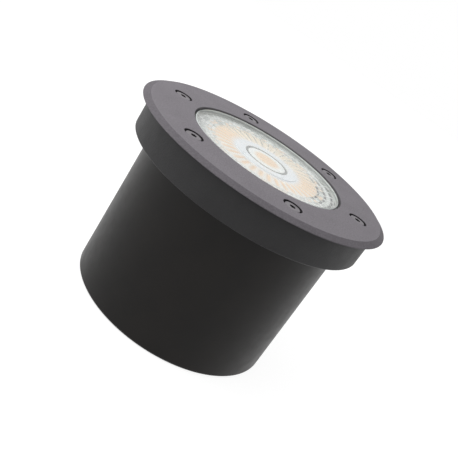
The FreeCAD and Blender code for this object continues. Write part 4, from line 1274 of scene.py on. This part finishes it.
@dataclass
class Optic:
    """The faceted optic under the glass, and the ring that carries it."""

    flange_radius: float = 44.5
    body_radius: float = 42.5
    flange: float = 2.0
    foot_radius: float = 8.6
    recess_radius: float = 7.4
    recess_depth: float = 10.0
    bulge_radius: float = 120.0
    bulge_steps: int = 16
    sectors: int = 36
    sector_steps: int = 12
    top_steps: int = 124
    petal_start: float = 19.0
    ring_start: float = 32.2
    facet_pitch: float = 2.2
    facet_depth: float = 0.45
    mosaic_share: float = 0.6
    crown_depth: float = 0.05
    rim_width: float = 0.7
    rim_depth: float = 0.1
    dome_radius: float = 11.8
    dome_rise: float = 0.12
    groove_radius: float = 12.4
    groove_width: float = 0.7
    groove_depth: float = 0.6
    holder_shelf: float = 43.4
    holder_radius: float = 45.5
    fit: float = 0.1

    def build(self) -> None:
        """Build the optic, ring by ring from its middle to its recess, and its holder."""
        bottom, top = low("optic_lens"), high("optic_lens")
        under, roof = top - self.flange, bottom + self.recess_depth
        count = self.sectors * self.sector_steps
        radii = [self.flange_radius * (step + 1) / self.top_steps
                 for step in range(self.top_steps)]
        outline = [(self.flange_radius, under), (self.body_radius, under),
                   *self.bowl(bottom, under), (self.recess_radius, bottom),
                   (self.recess_radius, roof)]
        rings = [ring(count, AXIS, lambda angle, radius=radius: (
            radius, top - self.relief(radius, angle))) for radius in radii]
        rings += [ring(count, AXIS, lambda _, corner=corner: corner) for corner in outline]
        optic = loft("optic_moulding", [[spot(AXIS, top)], *rings, [spot(AXIS, roof)]])
        dress(optic, Palette.optic, "lamp", "optic_lens")
        bottom, top = low("optic_holder"), high("optic_holder")
        mouth = self.flange_radius + self.fit
        holder = turned("optic_carrier", [
            (self.holder_shelf, bottom, 0.2), (self.holder_radius, bottom, 0.3),
            (self.holder_radius, top, 0.2), (mouth, top, 0.15), (mouth, under, 0),
            (self.holder_shelf, under, 0.2)], segments=256)
        dress(holder, Palette.white, "lamp", "optic_holder")

    def relief(self, radius: float, angle: float) -> float:
        """How far the top surface lies below its highest level.

        Args:
            radius: The distance from the axis.
            angle: The angle about the axis in degrees.

        Returns:
            The depth.
        """
        beside = abs(radius - self.groove_radius) / self.groove_width
        if radius < self.dome_radius:
            return self.dome_rise * (radius / self.dome_radius) ** 2
        if beside < 1:
            return self.dome_rise + self.groove_depth * (1 - beside ** 2)
        if radius > self.flange_radius - self.rim_width:
            return self.rim_depth
        if radius < self.petal_start:
            return self.crown_depth
        if radius < self.ring_start:
            across = (radius - self.petal_start) / (self.ring_start - self.petal_start)
            return self.crown_depth + self.facet_depth * self.hollow(across, angle, self.sectors, 0)
        rings = (radius - self.ring_start) / self.facet_pitch
        number = math.floor(rings)
        return self.crown_depth + self.mosaic_share * self.facet_depth * self.hollow(
            rings - number, angle, 2 * self.sectors, number)

    def hollow(self, across: float, angle: float, sectors: int, number: int) -> float:
        """How far a point of a pillow-shaped facet lies below its crown.

        Args:
            across: The share across the facet's ring.
            angle: The angle about the axis in degrees.
            sectors: How many facets the ring has.
            number: The ring's number, as every other one is turned by half a facet.

        Returns:
            0 at the crown and 1 on a seam.
        """
        along = (angle / 360 * sectors + 0.5 * (number % 2)) % 1
        return 1 - (1 - (2 * across - 1) ** 4) * (1 - 4 * (along - 0.5) ** 2)

    def bowl(self, bottom: float, under: float) -> list[Place]:
        """The bulging side of the bowl, from the flange down to the foot.

        Args:
            bottom: The foot's level.
            under: The flange's underside.

        Returns:
            Points of the side, as radius and level.
        """
        start, end = Vector((self.body_radius, under)), Vector((self.foot_radius, bottom))
        chord = end - start
        outwards = Vector((-chord.y, chord.x)).normalized()
        if outwards.y > 0:
            outwards = -outwards
        depth = math.sqrt(self.bulge_radius ** 2 - (chord.length / 2) ** 2)
        centre = (start + end) / 2 - outwards * depth
        spokes = [start.lerp(end, step / self.bulge_steps) - centre
                  for step in range(1, self.bulge_steps + 1)]
        return [tuple(centre + spoke.normalized() * self.bulge_radius) for spoke in spokes]


# Front: plate, glass, gasket, washers and screws
@dataclass
class Front:
    """The face plate with what rides in it: glass, gasket and sealing washers."""

    opening: float = 45.9
    opening_chamfer: float = 0.25
    lip: float = 4.2
    pocket_radius: float = 51.8
    spigot_radius: float = 66.0
    bevel_width: float = 3.5
    bevel_height: float = 1.8
    edge_height: float = 0.4
    screw_circle: float = 57.7
    screw_count: int = 6
    counterbore: float = 5.3
    counterbore_depth: float = 4.4
    counterbore_flare: float = 0.22
    screw_hole: float = 2.8
    glass_radius: float = 44.95
    glass_flange: float = 49.8
    glass_chamfer: float = 0.5
    flange_top: float = 100.5
    gasket_inner: float = 46.1
    gasket_radius: float = 51.6
    washer_radius: float = 4.9
    fit: float = 0.1
    skin: float = 0.3
    arris_rise: float = 0.3

    def build(self) -> None:
        """Build the plate, the glass, the gasket and the washers."""
        self.build_plate()
        self.build_glass()
        self.build_gasket()
        washer = tube("seal_washers", (self.screw_hole, self.washer_radius),
                      (low("screw_washers"), high("screw_washers")), 56, (self.screw_circle, 0),
                      (0.1, 0.1, 0.15, 0.15))
        dress(repeated(washer, self.screw_count), Palette.rubber, "front", "screw_washers")

    def build_plate(self) -> None:
        """Turn the plate, cut its counterbores and give its bores, bevel and opening painted shade.
        """
        radius, bottom, face = outer("face_plate"), low("face_plate"), high("face_plate")
        rim_top, lip = face - self.bevel_height, face - self.lip
        rim_under, ridge = rim_top - self.edge_height, radius - self.bevel_width
        inner = self.opening + self.opening_chamfer
        plate = turned("front_plate", [
            (self.opening, face - self.opening_chamfer, 0.12),
            (self.opening, lip, 0.1),
            (self.pocket_radius, lip, 0.2),
            (self.pocket_radius, bottom, 0.2),
            (self.spigot_radius, bottom, 0.4),
            (self.spigot_radius, rim_under, 0.2),
            (radius, rim_under, 0.19),
            (radius, rim_top, 0.19),
            (ridge, face, 0.3),
            (inner, face, 0.12)], segments=288)
        floor, flare = face - self.counterbore_depth, self.counterbore + self.counterbore_flare
        tool = turned("counterbore", [
            (0, bottom - OVERLAP, 0), (self.screw_hole, bottom - OVERLAP, 0),
            (self.screw_hole, floor, 0.15), (self.counterbore, floor, 0.3),
            (self.counterbore, face - self.counterbore_flare, 0.1), (flare, face, 0),
            (flare, face + OVERLAP, 0), (0, face + OVERLAP, 0)], 72, (self.screw_circle, 0))
        combine(plate, repeated(tool, self.screw_count), Cut.TAKE)
        dress(plate, Palette.face, "front", "face_plate")
        # Painted shade in the counterbores.
        second_finish(plate, Palette.bore, lambda place, normal: self.in_counterbore(place.xy)
                      and (place.z < face - self.skin or abs(normal.z) < UPRIGHT))
        # Painted shade on the bevel.
        second_finish(plate, Palette.bevel, lambda place, normal: place.xy.length > ridge)
        # Painted shade on the opening's wall and chamfer.
        second_finish(plate, Palette.opening, lambda place, normal: place.xy.length < inner)

    def in_counterbore(self, place: Vector) -> bool:
        """Whether a place, seen from above, is in one of the counterbores."""
        return any((place - Vector(spot)).length < self.counterbore + self.fit
                   for spot in spread(self.screw_circle, self.screw_count))

    def build_glass(self) -> None:
        """Turn the glass with its ground edge and stepped flange."""
        bottom, top = low("lens_glass"), high("lens_glass")
        arris, shelf = top - self.glass_chamfer, self.flange_top
        glass = turned("toughened_disc", [
            (0, bottom, 0), (self.glass_flange, bottom, 0.3),
            (self.glass_flange, shelf, 0.3), (self.glass_radius, shelf, 0.1),
            (self.glass_radius, arris, 0.15),
            (self.glass_radius - self.glass_chamfer, top, 0.15), (0, top, 0)], segments=256)
        dress(glass, Palette.glass, "front", "lens_glass")
        ground = self.glass_radius - self.glass_chamfer - self.fit
        second_finish(glass, Palette.ground,
                      lambda place, normal: place.xy.length > ground and abs(normal.z) < UPRIGHT)
        # Painted highlight on the glass's top chamfer.
        second_finish(glass, Palette.arris, lambda place, normal: place.z > arris
                      and self.arris_rise < normal.z < UPRIGHT)

    def build_gasket(self) -> None:
        """Turn the gasket that wraps the glass's flange."""
        bottom, top, under = low("lens_gasket"), high("lens_gasket"), low("lens_glass")
        mouth, channel = self.glass_radius + self.fit, self.glass_flange + self.fit
        gasket = turned("silicone_channel", [
            (self.gasket_inner, bottom, 0.3), (self.gasket_radius, bottom, 0.4),
            (self.gasket_radius, top, 0.3), (mouth, top, 0.1),
            (mouth, self.flange_top, 0), (channel, self.flange_top, 0), (channel, under, 0),
            (self.gasket_inner, under, 0.2)], segments=192)
        dress(gasket, Palette.silicone, "front", "lens_gasket")


@dataclass
class FaceScrew:
    """One low-head socket screw of the face plate."""

    number: int
    head_height: float = 3.5
    head_radius: float = 4.25
    head_inset: float = 0.2
    shank_radius: float = 2.5
    pitch: float = 0.8
    thread_depth: float = 0.45
    socket_width: float = 3.0
    socket_depth: float = 2.0
    socket_reach: float = 1.6
    skin: float = 0.3

    def build(self) -> None:
        """Turn the head, sink its socket and add the threaded shank."""
        node = f"face_screw_{self.number}"
        at, bottom, top = middle(node), low(node), high(node)
        under, axis = top - self.head_height, Vector(at)
        screw = tube(f"plate_screw_{self.number}", (0, self.head_radius),
                     (under, top - self.head_inset), 72, at, (0, 0.15, 0.35, 0))
        combine(screw, threaded("shank", self.shank_radius, self.pitch, self.thread_depth,
                                (bottom, under + 0.4), at), Cut.ADD)
        combine(screw, prism("socket", spread(corner_reach(self.socket_width), 6, 30, at),
                             top - self.socket_depth, top + OVERLAP), Cut.TAKE)
        dress(screw, Palette.screw, node, node)
        # Painted shade inside the socket.
        second_finish(screw, Palette.bore, lambda place, normal: under < place.z < top - self.skin
                      and (place.xy - axis).length < self.socket_reach)


# Studio
@dataclass
class Camera:
    """The camera at the photo's angle, rolled as the light lies in it."""

    azimuth: float = 7.69
    elevation: float = 14.06
    roll: float = -33.61
    distance: float = 374.24
    focal_pixels: float = 694.54
    frame_pixels: float = 458.0
    face_across: float = 269.39
    face_down: float = 156.28
    sensor: float = 36.0
    nearest: float = 0.01
    farthest: float = 20.0

    def build(self) -> None:
        """Place the camera and make it the scene's."""
        data = bpy.data.cameras.new("camera")
        data.sensor_fit = "HORIZONTAL"
        data.sensor_width = self.sensor
        data.lens = self.focal_pixels / self.frame_pixels * self.sensor
        data.clip_start, data.clip_end = self.nearest, self.farthest
        camera = bpy.data.objects.new("camera", data)
        bpy.context.scene.collection.objects.link(camera)
        bpy.context.scene.camera = camera
        tilt = math.radians(self.elevation)
        swing = Matrix.Rotation(math.radians(self.azimuth), 3, "Z")
        back = swing @ Vector((0, -math.cos(tilt), math.sin(tilt)))
        upright = Matrix((swing @ Vector((1, 0, 0)),
                          swing @ Vector((0, math.sin(tilt), math.cos(tilt))), back))
        half = self.frame_pixels / 2
        aim = Vector(((self.face_across - half) / self.focal_pixels,
                      -(self.face_down - half) / self.focal_pixels, -1)).normalized()
        aside = Vector((0, 0, -1)).rotation_difference(aim).to_matrix()
        rolled = Matrix.Rotation(math.radians(self.roll), 3, "Z")
        turned_to = (aside @ rolled @ upright).transposed().to_4x4()
        stand = spot(AXIS, high("face_plate")) + back * (self.distance * MM)
        camera.matrix_world = Matrix.Translation(stand) @ turned_to


@dataclass(frozen=True)
class Lamp:
    """A soft square lamp that faces the light."""

    name: str
    place: tuple[float, float, float]
    size: float
    power: float
    aim: tuple[float, float, float] = (0, 0, 0.06)

    def build(self) -> None:
        """Hang the lamp."""
        data = bpy.data.lights.new(self.name, "AREA")
        data.shape = "SQUARE"
        data.size = self.size
        data.energy = self.power
        lamp = bpy.data.objects.new(self.name, data)
        bpy.context.scene.collection.objects.link(lamp)
        lamp.location = self.place
        lamp.rotation_mode = "QUATERNION"
        towards = Vector(self.aim) - Vector(self.place)
        lamp.rotation_quaternion = towards.to_track_quat("-Z", "Y")


@dataclass
class Studio:
    """A pale floor in soft even light."""

    floor_size: float = 4.0
    floor_tone: float = 0.3
    floor_variation: float = 0.02
    floor_clouds: float = 200.0
    floor_roughness: float = 0.9
    floor_gloss: float = 0.1
    floor_glow: float = 0.86
    ambient_low: float = 0.30
    ambient_high: float = 0.75
    seen_by: tuple[str, ...] = ("Camera", "Glossy", "Transmission")
    lamps: tuple[Lamp, ...] = (Lamp("overhead", (-0.33, -0.06, 0.46), 0.35, 0.96),
                               Lamp("key", (-0.48, -0.50, 0.26), 0.4, 0.9),
                               Lamp("fill", (0.62, -0.34, 0.26), 0.4, 0.10))

    def build(self) -> None:
        """Build the floor, the surroundings and the lamps."""
        self.build_floor()
        self.build_world()
        for lamp in self.lamps:
            lamp.build()
        log.info("studio ready")

    def build_floor(self) -> None:
        """A wide pale floor that keeps a faint shadow and is clear from below."""
        half, shape = self.floor_size / 2, bmesh.new()
        shape.faces.new([shape.verts.new((x * half, y * half, CAD_BOX[0].z))
                         for x, y in ((-1, -1), (1, -1), (1, 1), (-1, 1))])
        floor = new_piece("floor", shape)
        graph = Graph(bpy.data.materials.new("floor_paint"))
        tones = [(self.floor_tone * share,) * 3
                 for share in (1 - self.floor_variation, 1 + self.floor_variation)]
        paint = graph.node("BsdfPrincipled", {
            "Base Color": graph.mix(graph.noise(self.floor_clouds, 3.0), *tones),
            "Roughness": self.floor_roughness, "Specular IOR Level": self.floor_gloss})
        glow = graph.node("Emission", {"Strength": graph.rays(*self.seen_by) * self.floor_glow})
        lit = graph.node("AddShader", (paint, glow))
        surface = graph.blend(graph.inside(), lit, graph.node("BsdfTransparent"))
        floor.data.materials.append(graph.finish(surface))

    def build_world(self) -> None:
        """Surroundings that are white where they are seen, and brighter above as light."""
        graph = Graph(bpy.data.worlds.new("surroundings"))
        rise = graph.node("SeparateXYZ", (graph.node("TexCoord", (), "Generated"),), 2)
        level = graph.node("MapRange", (rise, 0.0, 1.0, self.ambient_low, self.ambient_high))
        light = graph.node("Background", {"Color": WHITE, "Strength": level})
        white = graph.node("Background", {"Color": WHITE})
        bpy.context.scene.world = graph.finish(
            graph.blend(graph.rays(*self.seen_by), light, white))


def main() -> None:
    """Build every sub-assembly from the ground up, then the studio."""
    logging.basicConfig(level=logging.INFO, format="%(message)s")
    bpy.context.scene.view_settings.view_transform = "Standard"
    screws = [FaceScrew(number) for number in range(1, Front.screw_count + 1)]
    for assembly in (BurialSleeve(), LampHousing(), CableGland(), PressureVent(), PlainSeals(),
                     Driver(), LightSource(), Optic(), Front(), *screws):
        assembly.build()
        log.info("built %s", type(assembly).__name__)
    Studio().build()
    Camera().build()


if __name__ == "__main__":
    main()
